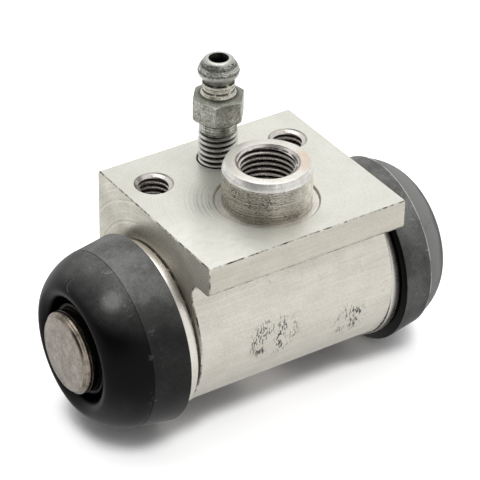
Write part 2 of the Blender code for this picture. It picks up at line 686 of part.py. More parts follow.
def return_spring(parts):
    """Coil spring between the two pistons' recesses, with a closed turn at each end."""
    floor = seal_groove_span()[1] - SEAL_FLANGE_WIDTH + SPRING_RECESS_DEPTH
    reach = floor - TOUCH_GAP - SPRING_WIRE_RADIUS
    start, end = -(reach - LEFT_INSET), reach - RIGHT_INSET
    coil_radius = SPRING_RECESS_RADIUS - TOUCH_GAP - SPRING_WIRE_RADIUS
    count = SPRING_TURNS * SPRING_POINTS_PER_TURN
    closed_turn = (2 * SPRING_WIRE_RADIUS + TOUCH_GAP) / (end - start)

    curve = bpy.data.curves.new("return_spring", "CURVE")
    curve.dimensions = "3D"
    curve.bevel_depth = SPRING_WIRE_RADIUS
    curve.bevel_resolution = 2
    curve.use_fill_caps = True
    curve.materials.append(new_material("spring_steel"))
    spline = curve.splines.new("POLY")
    spline.points.add(count)
    for i, point in enumerate(spline.points):
        turns = i / SPRING_POINTS_PER_TURN
        angle = 2 * math.pi * turns
        active = (turns - 1.0) / (SPRING_TURNS - 2.0)
        share = closed_turn + (1.0 - 2 * closed_turn) * active
        if turns < 1.0:
            share = closed_turn * turns
        elif turns > SPRING_TURNS - 1.0:
            share = 1.0 - closed_turn * (SPRING_TURNS - turns)
        x = start + (end - start) * share
        point.co = (x, coil_radius * math.cos(angle), coil_radius * math.sin(angle), 1.0)
    spring = bpy.data.objects.new("return_spring", curve)
    spring.location = (0.0, BORE_AXIS_Y, -BORE_AXIS_DROP)
    parts.objects.link(spring)
    return spring


def main():
    clear_scene()
    parts = new_collection("wheel_cylinder")
    cutters = new_collection("cutters", hidden=True)
    cylinder_body(parts, cutters)
    bleeder_screw(parts, cutters)
    steel = new_material("steel")
    seal_rubber = new_material("seal_rubber")
    boot_rubber = new_material("boot_rubber")
    for word, side, inset in (("left", -1, LEFT_INSET), ("right", 1, RIGHT_INSET)):
        piston("piston_" + word, side, inset, parts, steel)
        piston_seal("seal_" + word, side, inset, parts, seal_rubber)
        dust_boot("dust_boot_" + word, side, inset, parts, boot_rubber)
    return_spring(parts)


main()
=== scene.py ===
# %% [markdown]
# # A drum brake's wheel cylinder
# The finished part is an aluminium body with a machined mounting face, a bleed screw and two
# pistons in rubber boots. This lesson dresses the measured solids: each solid gets a piece with
# finer shapes, such as threads and small bevels, and with a finish made of shader nodes.

import json
import math
from types import SimpleNamespace

import bmesh
import bpy
from mathutils import Matrix, Vector

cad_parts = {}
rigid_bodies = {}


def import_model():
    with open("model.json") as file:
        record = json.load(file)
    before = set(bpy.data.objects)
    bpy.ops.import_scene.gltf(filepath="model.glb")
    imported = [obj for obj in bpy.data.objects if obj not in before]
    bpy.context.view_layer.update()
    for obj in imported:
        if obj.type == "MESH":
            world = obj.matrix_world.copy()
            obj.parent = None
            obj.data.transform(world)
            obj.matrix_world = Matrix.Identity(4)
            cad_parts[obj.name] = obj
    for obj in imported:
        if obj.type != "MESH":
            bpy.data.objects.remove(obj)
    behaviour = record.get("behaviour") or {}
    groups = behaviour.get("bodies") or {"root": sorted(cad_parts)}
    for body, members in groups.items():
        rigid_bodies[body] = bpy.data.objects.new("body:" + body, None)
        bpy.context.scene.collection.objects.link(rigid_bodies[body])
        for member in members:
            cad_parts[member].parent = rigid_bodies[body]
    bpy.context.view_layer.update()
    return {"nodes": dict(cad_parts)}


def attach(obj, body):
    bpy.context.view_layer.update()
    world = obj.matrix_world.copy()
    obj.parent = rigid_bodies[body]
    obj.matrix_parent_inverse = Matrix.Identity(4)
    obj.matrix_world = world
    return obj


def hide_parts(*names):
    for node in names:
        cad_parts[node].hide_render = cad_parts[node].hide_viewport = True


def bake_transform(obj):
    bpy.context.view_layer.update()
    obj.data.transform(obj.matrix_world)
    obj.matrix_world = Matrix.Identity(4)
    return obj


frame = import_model()
MM = 0.001
print("solids:", sorted(frame["nodes"]))

# %% [markdown]
# ## The camera
# A product photograph is often taken with a long lens, which keeps parallel edges nearly parallel.
# The direction can be set by turning the camera by hand, or by building its axes from an azimuth,
# an elevation and a small roll. The axes are used here, because the numbers then say it all.

# %% Camera
VIEW_AZIMUTH = math.radians(-33.57)
VIEW_ELEVATION = math.radians(33.84)
VIEW_ROLL = math.radians(0.911)
VIEW_DISTANCE = 422.8 * MM
VIEW_TARGET = Vector((-1.836, -4.95, -10.184)) * MM
FOCAL_LENGTH_PIXELS = 2570.9
PICTURE_PIXELS = 480.0

back = Vector((
    math.cos(VIEW_ELEVATION) * math.sin(VIEW_AZIMUTH),
    -math.cos(VIEW_ELEVATION) * math.cos(VIEW_AZIMUTH),
    math.sin(VIEW_ELEVATION),
))
level_right = (-back).cross(Vector((0.0, 0.0, 1.0))).normalized()
level_up = level_right.cross(-back)
right = level_right * math.cos(VIEW_ROLL) + level_up * math.sin(VIEW_ROLL)
up = level_up * math.cos(VIEW_ROLL) - level_right * math.sin(VIEW_ROLL)

camera_data = bpy.data.cameras.new("camera")
camera_data.sensor_width = 36.0
camera_data.lens = FOCAL_LENGTH_PIXELS / PICTURE_PIXELS * camera_data.sensor_width
camera_data.clip_start = 0.01
camera_data.clip_end = 20.0
camera = bpy.data.objects.new("camera", camera_data)
bpy.context.scene.collection.objects.link(camera)
turned_axes = Matrix((right, up, back)).transposed().to_4x4()
camera.matrix_world = Matrix.Translation(VIEW_TARGET + back * VIEW_DISTANCE) @ turned_axes
bpy.context.scene.camera = camera
print("lens %.0f mm, %.0f mm away" % (camera_data.lens, VIEW_DISTANCE / MM))

# %% [markdown]
# ## Places on the part
# All pieces share a few lines: the bore's axis, and the upright axes of the inlet port, the bleed
# screw and the mounting holes. They could be read from the solids, but the machined shapes are
# simple enough to state once, in millimetres from the middle of the mounting face. The right
# piston stands a little further in than the left one.

# %% Shared lines
BORE_AXIS = Vector((0.0, -4.95, -20.4)) * MM
PORT_AXIS = Vector((0.0, -9.85, 0.0)) * MM
BLEEDER_AXIS = Vector((0.0, 4.85, 0.0)) * MM
MOUNT_AXES = {"left": Vector((-13.1, 3.65, 0.0)) * MM, "right": Vector((13.1, 3.65, 0.0)) * MM}
RIGHT_INSET = 1.8
ENDS = (("left", -1, 0.0), ("right", 1, RIGHT_INSET))
AXIS_TO_FLOOR = 16.05
FLOOR_HEIGHT = BORE_AXIS.z - AXIS_TO_FLOOR * MM
print("bore axis %.2f mm below the mounting face" % (-BORE_AXIS.z / MM))

# %% [markdown]
# ## Turning and threading
# Most pieces come from a lathe. A profile of a few points can be turned with the Screw modifier or
# with the spin operator. Spin is used here, because the same call also winds a thread when each
# step moves a little along the axis. Sharp rings are then rounded with the bevel operator.

# %% Helpers that turn, wind and round
THREAD_PITCH = 1.0
THREAD_STEPS = 64
WIDE_STEPS, MIDDLE_STEPS, NARROW_STEPS = 160, 128, 96


def swept(bm, geom, angle, steps, rise=0.0, merge=False):
    """Spin geometry about the Z axis, each step higher by rise, and return its last copy."""
    return bmesh.ops.spin(
        bm, geom=geom, cent=(0, 0, 0), axis=(0, 0, 1), dvec=(0, 0, rise), angle=angle, steps=steps,
        use_merge=merge, use_duplicate=False,
    )["geom_last"]


def spun(profile, steps):
    """Spin (radius, height) points, given in millimetres, about the Z axis."""
    bm = bmesh.new()
    verts = [bm.verts.new((radius * MM, 0.0, height * MM)) for radius, height in profile]
    edges = [bm.edges.new(pair) for pair in zip(verts, verts[1:])]
    if profile[0][0] > 0.0 and profile[-1][0] > 0.0:
        edges.append(bm.edges.new((verts[-1], verts[0])))
    swept(bm, verts + edges, math.tau, steps, merge=True)
    bmesh.ops.remove_doubles(bm, verts=bm.verts, dist=0.0005 * MM)
    bmesh.ops.recalc_face_normals(bm, faces=bm.faces)
    return bm


def bevelled(bm, edges, size, segments):
    """Round edges by a bevel with this size in millimetres."""
    bmesh.ops.bevel(
        bm, geom=edges, offset=size * MM, offset_type="OFFSET", affect="EDGES",
        segments=segments, profile=0.5, material=-1, clamp_overlap=True,
    )


def round_ring(bm, radius, height, size, segments=2):
    """Bevel the ring of edges at one radius and height, in millimetres."""
    def on_ring(vert):
        reach = math.hypot(vert.co.x, vert.co.y) / MM
        return abs(reach - radius) < 0.003 and abs(vert.co.z / MM - height) < 0.003

    ring = [edge for edge in bm.edges if all(on_ring(vert) for vert in edge.verts)]
    bevelled(bm, ring, size, segments)


def wound(section, turns, start_height):
    """Wind a closed section of (radius, height) points up the Z axis, with a cap at each end."""
    bm = bmesh.new()
    corners = [bm.verts.new((r * MM, 0.0, (start_height + h) * MM)) for r, h in section]
    face = bm.faces.new(corners)
    steps = int(round(turns * THREAD_STEPS))
    rise = THREAD_PITCH * turns / steps * MM
    swept(bm, [face] + list(face.edges) + corners, math.tau * turns, steps, rise)
    bmesh.ops.recalc_face_normals(bm, faces=bm.faces)
    return bm


print("helpers ready")

# %% [markdown]
# A turned piece is made upright at the origin and then put in place. The pistons, the boots and
# the body's ends lie along the bore, so their own Z axis is laid over to one side. The place goes
# into the mesh, so that every object stays at the origin.

# %% Helpers that place and finish
UPRIGHT = Matrix.Identity(4)
SHARP_FROM = 32.0


def along_bore(side):
    """The matrix that lays a piece on the bore, pointing out of the left (-1) or right (1) end."""
    return Matrix.Translation(BORE_AXIS) @ Matrix.Rotation(side * math.pi / 2, 4, "Y")


def standing(axis):
    """The matrix that stands a piece on one of the upright axes."""
    return Matrix.Translation(axis)


def shade(mesh, sharp_from):
    for polygon in mesh.polygons:
        polygon.use_smooth = True
    mesh.set_sharp_from_angle(angle=math.radians(sharp_from))


def as_object(name, bm, place=UPRIGHT, sharp_from=SHARP_FROM):
    """Put the bmesh in place and make it an object with smooth faces and sharp corners."""
    bmesh.ops.transform(bm, matrix=place, verts=bm.verts)
    mesh = bpy.data.meshes.new(name)
    bm.to_mesh(mesh)
    bm.free()
    shade(mesh, sharp_from)
    obj = bpy.data.objects.new(name, mesh)
    bpy.context.scene.collection.objects.link(obj)
    return obj


def combined(obj, tool, operation):
    """Apply a Boolean of tool to obj, and remove the tool."""
    modifier = obj.modifiers.new("combine", "BOOLEAN")
    modifier.operation = operation
    modifier.solver = "EXACT"
    modifier.object = tool
    graph = bpy.context.evaluated_depsgraph_get()
    mesh = bpy.data.meshes.new_from_object(obj.evaluated_get(graph))
    obj.modifiers.clear()
    obj.data = mesh
    shade(mesh, SHARP_FROM)
    bpy.data.objects.remove(tool, do_unlink=True)


def machined(obj, name, profile, steps, place, operation):
    """Turn a profile, and join it to obj, cut it out of obj or keep only what both share."""
    combined(obj, as_object(name, spun(profile, steps), place), operation)


def painted(obj, finishes, finish_of):
    """Give obj its finishes, and each face the one that finish_of picks for it."""
    obj.data.materials.clear()
    for finish in finishes:
        obj.data.materials.append(finish)
    for polygon in obj.data.polygons:
        polygon.material_index = finishes.index(finish_of(polygon))


print("a piece for the right end is turned by", [round(a) for a in along_bore(1).to_euler()])

# %% [markdown]
# ## Shared surface effects
# Machined metal shows the tool's path, drawn metal shows streaks, and old metal has pits. Each of
# these effects is used on several finishes, so each is a node group with its own inputs. The groups
# work on coordinates in metres, and a finish turns or moves them with a Mapping node.

# %% Helpers for node trees
def feed(node, inputs):
    """Set or link the inputs of a node, each by its name or number."""
    for name, value in inputs.items():
        if isinstance(value, bpy.types.NodeSocket):
            node.id_data.links.new(value, node.inputs[name])
        else:
            node.inputs[name].default_value = value


def add(tree, kind, inputs=None, **settings):
    """Add a node, change its settings, and set or link its inputs."""
    new = tree.nodes.new(kind)
    for name, value in settings.items():
        setattr(new, name, value)
    feed(new, inputs or {})
    return new


def new_group(name, numbers, outputs):
    """A node group with a Vector input, number inputs with defaults, and number outputs."""
    group = bpy.data.node_groups.new(name, "ShaderNodeTree")
    group.interface.new_socket("Vector", in_out="INPUT", socket_type="NodeSocketVector")
    for label, default in numbers.items():
        socket = group.interface.new_socket(label, in_out="INPUT", socket_type="NodeSocketFloat")
        socket.default_value = default
    for label in outputs:
        group.interface.new_socket(label, in_out="OUTPUT", socket_type="NodeSocketFloat")
    return group, add(group, "NodeGroupInput").outputs, add(group, "NodeGroupOutput")


def math_node(tree, operation, first, second=0.0, third=0.0):
    return add(
        tree, "ShaderNodeMath", {0: first, 1: second, 2: third}, operation=operation
    ).outputs[0]


def times(tree, first, second):
    return math_node(tree, "MULTIPLY", first, second)


def off_by(tree, value, middle):
    """How far a value is from a middle, on either side."""
    return math_node(tree, "ABSOLUTE", math_node(tree, "SUBTRACT", value, middle))


def distance_to(tree, where, middle):
    """How far a place is from a point that is given in millimetres."""
    return add(
        tree, "ShaderNodeVectorMath", {0: where, 1: Vector(middle) * MM}, operation="DISTANCE"
    ).outputs["Value"]


def ranged(tree, value, low, high, out_low=0.0, out_high=1.0):
    """Map a value between two limits, clamped, with soft ends."""
    return add(
        tree, "ShaderNodeMapRange",
        {"Value": value, "From Min": low, "From Max": high, "To Min": out_low, "To Max": out_high},
        interpolation_type="SMOOTHSTEP",
    ).outputs["Result"]


def mixed(tree, share, first, second):
    """Mix two colours, each a tuple of three numbers or a socket, by a share from 0 to 1."""
    ends = [end if isinstance(end, bpy.types.NodeSocket) else (*end, 1.0) for end in (first, second)]
    # The Mix node takes its factor at 0 and its colours at 6 and 7, and gives its colour at 2.
    return add(tree, "ShaderNodeMix", {0: share, 6: ends[0], 7: ends[1]}, data_type="RGBA").outputs[2]


def noise(tree, vector, scale, detail):
    """Noise between 0 and 1. scale says how many of its waves fit in a metre."""
    return add(
        tree, "ShaderNodeTexNoise", {"Vector": vector, "Scale": scale, "Detail": detail, "Roughness": 0.6}
    ).outputs["Fac"]


def patchy(tree, vector, scale, detail, *limits):
    """Noise that is mapped between limits, given as for ranged."""
    return ranged(tree, noise(tree, vector, scale, detail), *limits)


print("node helpers ready")

# %% Turned marks: fine rings round the Z axis
turned_marks, given, result = new_group("turned_marks", {"Lines per mm": 6.0}, ["Lines", "Bands"])
place = add(turned_marks, "ShaderNodeSeparateXYZ", {"Vector": given["Vector"]}).outputs
squares = [times(turned_marks, place[name], place[name]) for name in ("X", "Y")]
reach = math_node(turned_marks, "SQRT", math_node(turned_marks, "ADD", *squares))
along = times(turned_marks, math_node(turned_marks, "ADD", reach, place["Z"]), 1000.0)
fine = add(
    turned_marks, "ShaderNodeTexNoise",
    {"W": times(turned_marks, along, given["Lines per mm"]), "Scale": 1.0, "Detail": 2.0, "Roughness": 0.6},
    noise_dimensions="1D",
)
coarse = add(
    turned_marks, "ShaderNodeTexNoise", {"W": along, "Scale": 0.9, "Detail": 1.0},
    noise_dimensions="1D",
)
feed(result, {"Lines": fine.outputs["Fac"], "Bands": coarse.outputs["Fac"]})
print("turned marks:", len(turned_marks.nodes), "nodes")

# %% Drawn marks: streaks along the X axis
drawn_marks, given, result = new_group("drawn_marks", {"Lines per mm": 4.0}, ["Lines", "Bands"])
stretched = add(
    drawn_marks, "ShaderNodeVectorMath",
    {0: given["Vector"], 1: (35.0, 1000.0, 1000.0)}, operation="MULTIPLY",
).outputs["Vector"]
fine = add(
    drawn_marks, "ShaderNodeTexNoise",
    {"Vector": stretched, "Scale": given["Lines per mm"], "Detail": 3.0, "Roughness": 0.65},
)
coarse = add(drawn_marks, "ShaderNodeTexNoise", {"Vector": stretched, "Scale": 0.5, "Detail": 2.0})
feed(result, {"Lines": fine.outputs["Fac"], "Bands": coarse.outputs["Fac"]})
print("drawn marks:", len(drawn_marks.nodes), "nodes")

# %% Pits: small dark spots that gather in patches
pits, given, result = new_group(
    "pits", {"Spots per mm": 3.0, "Amount": 0.5, "Patch size": 4.0, "Flatness": 2.2}, ["Mask"]
)
in_mm = add(
    pits, "ShaderNodeVectorMath", {0: given["Vector"], "Scale": 1000.0}, operation="SCALE"
).outputs["Vector"]
squeeze = add(pits, "ShaderNodeCombineXYZ", {"X": 0.6, "Y": 0.6, "Z": given["Flatness"]}).outputs["Vector"]
flattened = add(
    pits, "ShaderNodeVectorMath", {0: in_mm, 1: squeeze}, operation="MULTIPLY"
).outputs["Vector"]
spots = add(
    pits, "ShaderNodeTexNoise",
    {"Vector": flattened, "Scale": given["Spots per mm"], "Detail": 1.5, "Roughness": 0.5},
).outputs["Fac"]
patches = add(
    pits, "ShaderNodeTexNoise",
    {"Vector": in_mm, "Scale": math_node(pits, "DIVIDE", 1.0, given["Patch size"]), "Detail": 2.0},
).outputs["Fac"]
level = math_node(pits, "ADD", spots, times(pits, patches, 0.35))
edge = math_node(pits, "SUBTRACT", 1.02, times(pits, given["Amount"], 0.4))
feed(result, {"Mask": ranged(pits, math_node(pits, "SUBTRACT", level, edge), 0.0, 0.05)})
print("pits:", len(pits.nodes), "nodes")

# %% Scratches: a few thin straight lines in two directions
scratches, given, result = new_group("scratches", {"Amount": 0.5}, ["Mask"])
total = 0.0
for turn, wave in ((0.5, 0.0), (2.3, 7.0)):
    turned_round = add(
        scratches, "ShaderNodeMapping",
        {"Vector": given["Vector"], "Rotation": (0.3, 0.2, turn), "Location": (wave, wave, wave)},
    ).outputs["Vector"]
    stretched = add(
        scratches, "ShaderNodeVectorMath", {0: turned_round, 1: (110.0, 2600.0, 700.0)},
        operation="MULTIPLY",
    ).outputs["Vector"]
    line = patchy(scratches, stretched, 1.0, 1.0, 0.70, 0.76)
    total = math_node(scratches, "MAXIMUM", line, total)
total = times(scratches, total, patchy(scratches, given["Vector"], 160.0, 1.0, 0.42, 0.6))
feed(result, {"Mask": times(scratches, total, given["Amount"])})
print("scratches:", len(scratches.nodes), "nodes")

# %% [markdown]
# ## Metal finishes
# Bare metal takes its look from what it mirrors, so the colour stays light and plain and the
# roughness does the work. Every metal here is built by one function from the shared groups: the
# marks tint the colour, change the roughness and drive a small bump.

# %% A function for machined and drawn metal
def new_finish(name, axis):
    """A material, its tree and its shader, with a point's own place and its place about an axis."""
    material = bpy.data.materials.new(name)
    material.use_nodes = True
    tree = material.node_tree
    where = add(tree, "ShaderNodeTexCoord", label="where").outputs["Object"]
    to_axis = {"Location": tuple(-axis), "Rotation": (0.0, 0.0, 0.0)}
    if axis is BORE_AXIS:
        to_axis = {"Location": (-axis.z, -axis.y, 0.0), "Rotation": (0.0, math.pi / 2, 0.0)}
    on_axis = add(tree, "ShaderNodeMapping", {"Vector": where, **to_axis}, label="on axis")
    return material, tree, tree.nodes["Principled BSDF"], where, on_axis.outputs["Vector"]


def raised(tree, height, strength):
    """The normal of a surface with this height on it."""
    return add(
        tree, "ShaderNodeBump", {"Strength": strength, "Distance": 0.05 * MM, "Height": height}
    ).outputs["Normal"]


def metal(name, light, dark, roughness, bump, axis=None, per_mm=3.0, weights=(0.4, 0.3, 0.1, 0.2),
          cloud_size=4.0, shine=1.0):
    """A metal whose colour runs between light and dark along its tool marks.

    The marks are turned round the axis, or drawn along X where none is given. weights are the
    shares of the fine lines, the clouds, the soft bands and the grain. A shine below 1 gives a
    part of the light back in all directions, like a fine matt texture.
    """
    drawn = axis is None
    material, tree, shader, where, on_axis = new_finish(name, Vector((0, 0, 0)) if drawn else axis)
    lines = add(
        tree, "ShaderNodeGroup", {"Vector": where if drawn else on_axis, "Lines per mm": per_mm},
        node_tree=drawn_marks if drawn else turned_marks,
    ).outputs
    cloud = noise(tree, where, 1.0 / (cloud_size * MM), 4.0)
    grain = noise(tree, where, 2900.0, 3.0)
    tone = times(tree, lines["Lines"], weights[0])
    for value, share in ((cloud, weights[1]), (lines["Bands"], weights[2]), (grain, weights[3])):
        tone = math_node(tree, "MULTIPLY_ADD", value, share, tone)
    tone = ranged(tree, tone, 0.34, 0.66)
    height = math_node(tree, "MULTIPLY_ADD", grain, 0.4, lines["Lines"])
    feed(shader, {
        "Base Color": mixed(tree, tone, dark, light), "Metallic": shine,
        "Roughness": ranged(tree, tone, 0.0, 1.0, roughness + 0.05, roughness - 0.05),
        "Normal": raised(tree, height, bump),
    })
    return material


print("metal function ready")

# %% Stains and painted light: a second colour where a mask says so
def stained(material, mask, color, dull=0.0):
    """Mix a stain or painted light and shade over a finish. dull is how much of the metal's shine the mark
    takes away.
    """
    tree = material.node_tree
    shader = tree.nodes["Principled BSDF"]
    clean = shader.inputs["Base Color"].links[0].from_socket
    feed(shader, {"Base Color": mixed(tree, mask, clean, color)})
    if dull:
        shine = shader.inputs["Metallic"].default_value
        feed(shader, {"Metallic": ranged(tree, mask, 0.0, 1.0, shine, shine * (1.0 - dull))})


def places(material):
    """A finish's tree, with a point's own place, its place, distance and height about the axis."""
    tree = material.node_tree
    where = [n for n in tree.nodes if n.label == "where"][0].outputs["Object"]
    on_axis = [n for n in tree.nodes if n.label == "on axis"][0].outputs["Vector"]
    parts_of = add(tree, "ShaderNodeSeparateXYZ", {"Vector": on_axis}).outputs
    flat = add(tree, "ShaderNodeCombineXYZ", {"X": parts_of["X"], "Y": parts_of["Y"]}).outputs["Vector"]
    reach = add(tree, "ShaderNodeVectorMath", {0: flat}, operation="LENGTH").outputs["Value"]
    return SimpleNamespace(tree=tree, own=where, about=on_axis, reach=reach, height=parts_of["Z"])


def pitted(material, amount, color, per_mm, flatness):
    at = places(material)
    spots = add(
        at.tree, "ShaderNodeGroup",
        {"Vector": at.about, "Amount": amount, "Spots per mm": per_mm, "Flatness": flatness},
        node_tree=pits,
    )
    stained(material, spots.outputs["Mask"], color)


def scratched(material, amount, color):
    at = places(material)
    lines = add(at.tree, "ShaderNodeGroup", {"Vector": at.own, "Amount": amount}, node_tree=scratches)
    stained(material, lines.outputs["Mask"], color)


def tinted(material, middle, radius, color, strength):
    """A soft patch of painted light, lighter or darker by its colour, round a point, with its radius, in
    millimetres.
    """
    at = places(material)
    away = distance_to(at.tree, at.own, middle)
    mask = ranged(at.tree, away, radius * MM, radius * 0.3 * MM, 0.0, strength)
    mask = times(at.tree, mask, patchy(at.tree, at.own, 700.0, 3.0, 0.3, 0.6, 0.5, 1.0))
    stained(material, mask, color)


def dirty_roots(material, clean, dirty, color, clean_from):
    """Painted shade from one radius to another, darkest at the second, but not above a height, in
    millimetres.
    """
    at = places(material)
    below = ranged(at.tree, at.height, (clean_from - 0.25) * MM, clean_from * MM, 1.0, 0.0)
    mask = times(at.tree, ranged(at.tree, at.reach, clean * MM, dirty * MM), below)
    mask = times(at.tree, mask, patchy(at.tree, at.own, 1500.0, 3.0, 0.3, 0.5, 0.8, 1.0))
    stained(material, mask, color, 0.5)


def dirty_rings(material, rings, color):
    """Rings of painted shade, each with a height and half a width in millimetres and a strength."""
    at = places(material)
    total = 0.0
    for middle, half, strength in rings:
        away = off_by(at.tree, at.height, middle * MM)
        ring = ranged(at.tree, away, half * MM, half * 0.4 * MM, 0.0, strength)
        total = math_node(at.tree, "MAXIMUM", ring, total)
    stained(material, times(at.tree, total, patchy(at.tree, at.own, 900.0, 3.0, 0.34, 0.46)), color, 0.3)


def dirty_near(material, inner, outer, color, strength):
    """Painted shade that fades from one distance off the piece's axis to another, with rings in it."""
    at = places(material)
    mask = ranged(at.tree, at.reach, outer * MM, inner * MM, 0.0, strength)
    mask = times(at.tree, mask, patchy(at.tree, at.reach, 1300.0, 3.0, 0.35, 0.6, 0.5, 1.3))
    stained(material, mask, color)


def brushed(material, middle, radius, color, strength):
    """Tool marks made darker round a point, as painted shade, with their reach, in millimetres."""
    at = places(material)
    lines = add(
        at.tree, "ShaderNodeGroup", {"Vector": at.about, "Lines per mm": 2.6}, node_tree=turned_marks
    ).outputs["Lines"]
    away = distance_to(at.tree, at.own, middle)
    near = ranged(at.tree, away, radius * MM, radius * 0.25 * MM, 0.0, strength)
    mask = times(at.tree, near, ranged(at.tree, lines, 0.40, 0.62))
    stained(material, times(at.tree, mask, patchy(at.tree, at.own, 350.0, 3.0, 0.3, 0.6, 0.3, 1.0)), color)


def smudged(material, middle, half, color):
    """A patch of smeared specks round a point, with half its size, in millimetres."""
    tree = material.node_tree
    where = places(material).own
    off = add(tree, "ShaderNodeVectorMath", {0: where, 1: Vector(middle) * MM}, operation="SUBTRACT")
    shape = Vector([1.0 / (size * MM) for size in half])
    scaled = add(tree, "ShaderNodeVectorMath", {0: off.outputs["Vector"], 1: shape}, operation="MULTIPLY")
    reach = add(tree, "ShaderNodeVectorMath", {0: scaled.outputs["Vector"]}, operation="LENGTH")
    slanted = add(
        tree, "ShaderNodeMapping", {"Vector": where, "Rotation": (0.0, 0.6, 0.0), "Scale": (2.2, 1.0, 0.9)}
    ).outputs["Vector"]
    specks = patchy(tree, slanted, 1500.0, 2.5, 0.50, 0.56)
    clumps = patchy(tree, slanted, 330.0, 1.0, 0.40, 0.54)
    mask = times(tree, specks, clumps)
    mask = times(tree, mask, ranged(tree, reach.outputs["Value"], 1.1, 0.6, 0.0, 0.95))
    stained(material, mask, color, 0.5)


print("stain functions ready")

# %% Finishes of the body
extruded = metal("extruded_aluminium", (0.84, 0.81, 0.735), (0.67, 0.64, 0.56), 0.38, 0.2,
                 weights=(0.30, 0.25, 0.1, 0.35), shine=0.75)
scratched(extruded, 0.5, (0.45, 0.43, 0.38))
smudged(extruded, (-4.9, -19.8, -19.6), (5.2, 4.0, 4.4), (0.035, 0.035, 0.035))
smudged(extruded, (10.4, -19.4, -22.0), (3.4, 4.0, 3.8), (0.05, 0.05, 0.05))
# The lip's front: a darker copy of the extruded finish, as painted shade.
lip_finish = metal("lip_aluminium_shaded", (0.73, 0.695, 0.61), (0.60, 0.57, 0.485), 0.38, 0.2,
                   weights=(0.30, 0.25, 0.1, 0.35), shine=0.75)
milled = metal("milled_aluminium", (0.84, 0.835, 0.76), (0.68, 0.675, 0.60), 0.33, 0.04,
               PORT_AXIS, per_mm=2.1, weights=(0.12, 0.40, 0.0, 0.48), cloud_size=6.0, shine=0.5)
# Painted shade of the boss on the top, left of it, drawn in the tool marks.
brushed(milled, (-7.0, -7.0, 0.0), 7.5, (0.40, 0.39, 0.36), 0.85)
# A lighter patch near the front left corner of the top: painted light.
tinted(milled, (-17.0, -18.0, 0.0), 15.0, (0.97, 0.965, 0.88), 0.8)
# A darker patch at the back of the top's left end: painted shade.
tinted(milled, (-19.0, 8.0, 0.0), 10.0, (0.66, 0.655, 0.58), 0.6)
scratched(milled, 0.2, (0.60, 0.58, 0.53))
faced = metal("faced_aluminium", (0.86, 0.83, 0.72), (0.50, 0.48, 0.40), 0.30, 0.18,
              BORE_AXIS, per_mm=2.5, weights=(0.30, 0.38, 0.0, 0.32), cloud_size=6.0, shine=0.6)
# Painted shade of the boot on each end face, round the neck.
dirty_near(faced, 14.3, 17.5, (0.30, 0.26, 0.17), 0.55)
scratched(faced, 0.5, (0.36, 0.34, 0.29))
neck_finish = metal("turned_neck_aluminium", (0.90, 0.86, 0.80), (0.72, 0.68, 0.62), 0.30, 0.1,
                    BORE_AXIS)
# A ring of painted shade at the root of each neck.
dirty_rings(neck_finish, ((-18.85, 0.2, 1.0), (18.85, 0.2, 1.0)), (0.04, 0.035, 0.028))
boss_side = metal("boss_side_aluminium", (0.62, 0.59, 0.52), (0.30, 0.275, 0.23), 0.40, 0.7,
                  PORT_AXIS, per_mm=4.0, weights=(0.6, 0.15, 0.0, 0.25))
pitted(boss_side, 0.72, (0.04, 0.035, 0.028), 4.5, 3.0)
# The right side of the boss made lighter: painted light.
tinted(boss_side, (6.2, -14.8, 3.2), 7.6, (0.98, 0.95, 0.88), 1.0)
boss_chamfer = metal("boss_chamfer_aluminium", (0.97, 0.96, 0.92), (0.62, 0.60, 0.56), 0.34, 0.2,
                     PORT_AXIS, weights=(0.3, 0.4, 0.0, 0.3), cloud_size=1.5, shine=0.6)
boss_face = metal("boss_face_aluminium", (0.96, 0.94, 0.88), (0.68, 0.65, 0.59), 0.32, 0.05,
                  PORT_AXIS, weights=(0.3, 0.4, 0.0, 0.3), shine=0.6)
# A peach patch on the right of the boss's face: a painted reflection.
tinted(boss_face, (5.4, -12.6, 7.1), 4.5, (0.74, 0.56, 0.42), 0.7)
spot_edge = metal("spot_edge_aluminium", (0.55, 0.52, 0.45), (0.22, 0.20, 0.17), 0.35, 0.1,
                  PORT_AXIS, cloud_size=3.0, shine=0.8)
tapped = metal("tapped_aluminium", (0.60, 0.59, 0.54), (0.32, 0.31, 0.28), 0.34, 0.3,
               PORT_AXIS, per_mm=5.0, shine=0.65)
# A ring of painted shade just below the mouth of each hole.
dirty_rings(tapped, ((-0.55, 0.2, 1.0),), (0.05, 0.04, 0.03))
port_tapped = metal("port_tapped_aluminium", (0.88, 0.84, 0.80), (0.56, 0.51, 0.47), 0.28,
                    0.3, PORT_AXIS, per_mm=4.0, weights=(0.4, 0.2, 0.0, 0.4), shine=0.8)
# Painted shade in the thread's roots, and a ring of it just below the port's mouth.
dirty_roots(port_tapped, 4.58, 4.85, (0.035, 0.025, 0.02), 6.5)
dirty_rings(port_tapped, ((6.74, 0.12, 0.9),), (0.05, 0.04, 0.03))
worn_edge = metal("worn_edge_aluminium", (0.82, 0.80, 0.74), (0.03, 0.028, 0.024), 0.4, 0.2,
                  weights=(0.1, 0.8, 0.0, 0.1), cloud_size=1.2)
print("body finishes:", [m.name for m in (extruded, milled, faced, boss_side, boss_face, tapped)])

# %% Finishes of the screw, the pistons and the spring
plated = metal("plated_steel", (0.68, 0.68, 0.62), (0.17, 0.17, 0.145), 0.36, 0.5,
               BLEEDER_AXIS, per_mm=3.5, weights=(0.45, 0.2, 0.0, 0.35), cloud_size=2.0, shine=0.6)
pitted(plated, 0.77, (0.02, 0.02, 0.015), 3.2, 5.0)
plated_neck = metal("plated_steel_neck", (0.86, 0.84, 0.73), (0.50, 0.48, 0.40), 0.36, 0.5,
                    BLEEDER_AXIS, per_mm=3.5, weights=(0.3, 0.3, 0.0, 0.4), cloud_size=1.5, shine=0.6)
pitted(plated_neck, 0.62, (0.03, 0.025, 0.015), 3.2, 5.0)
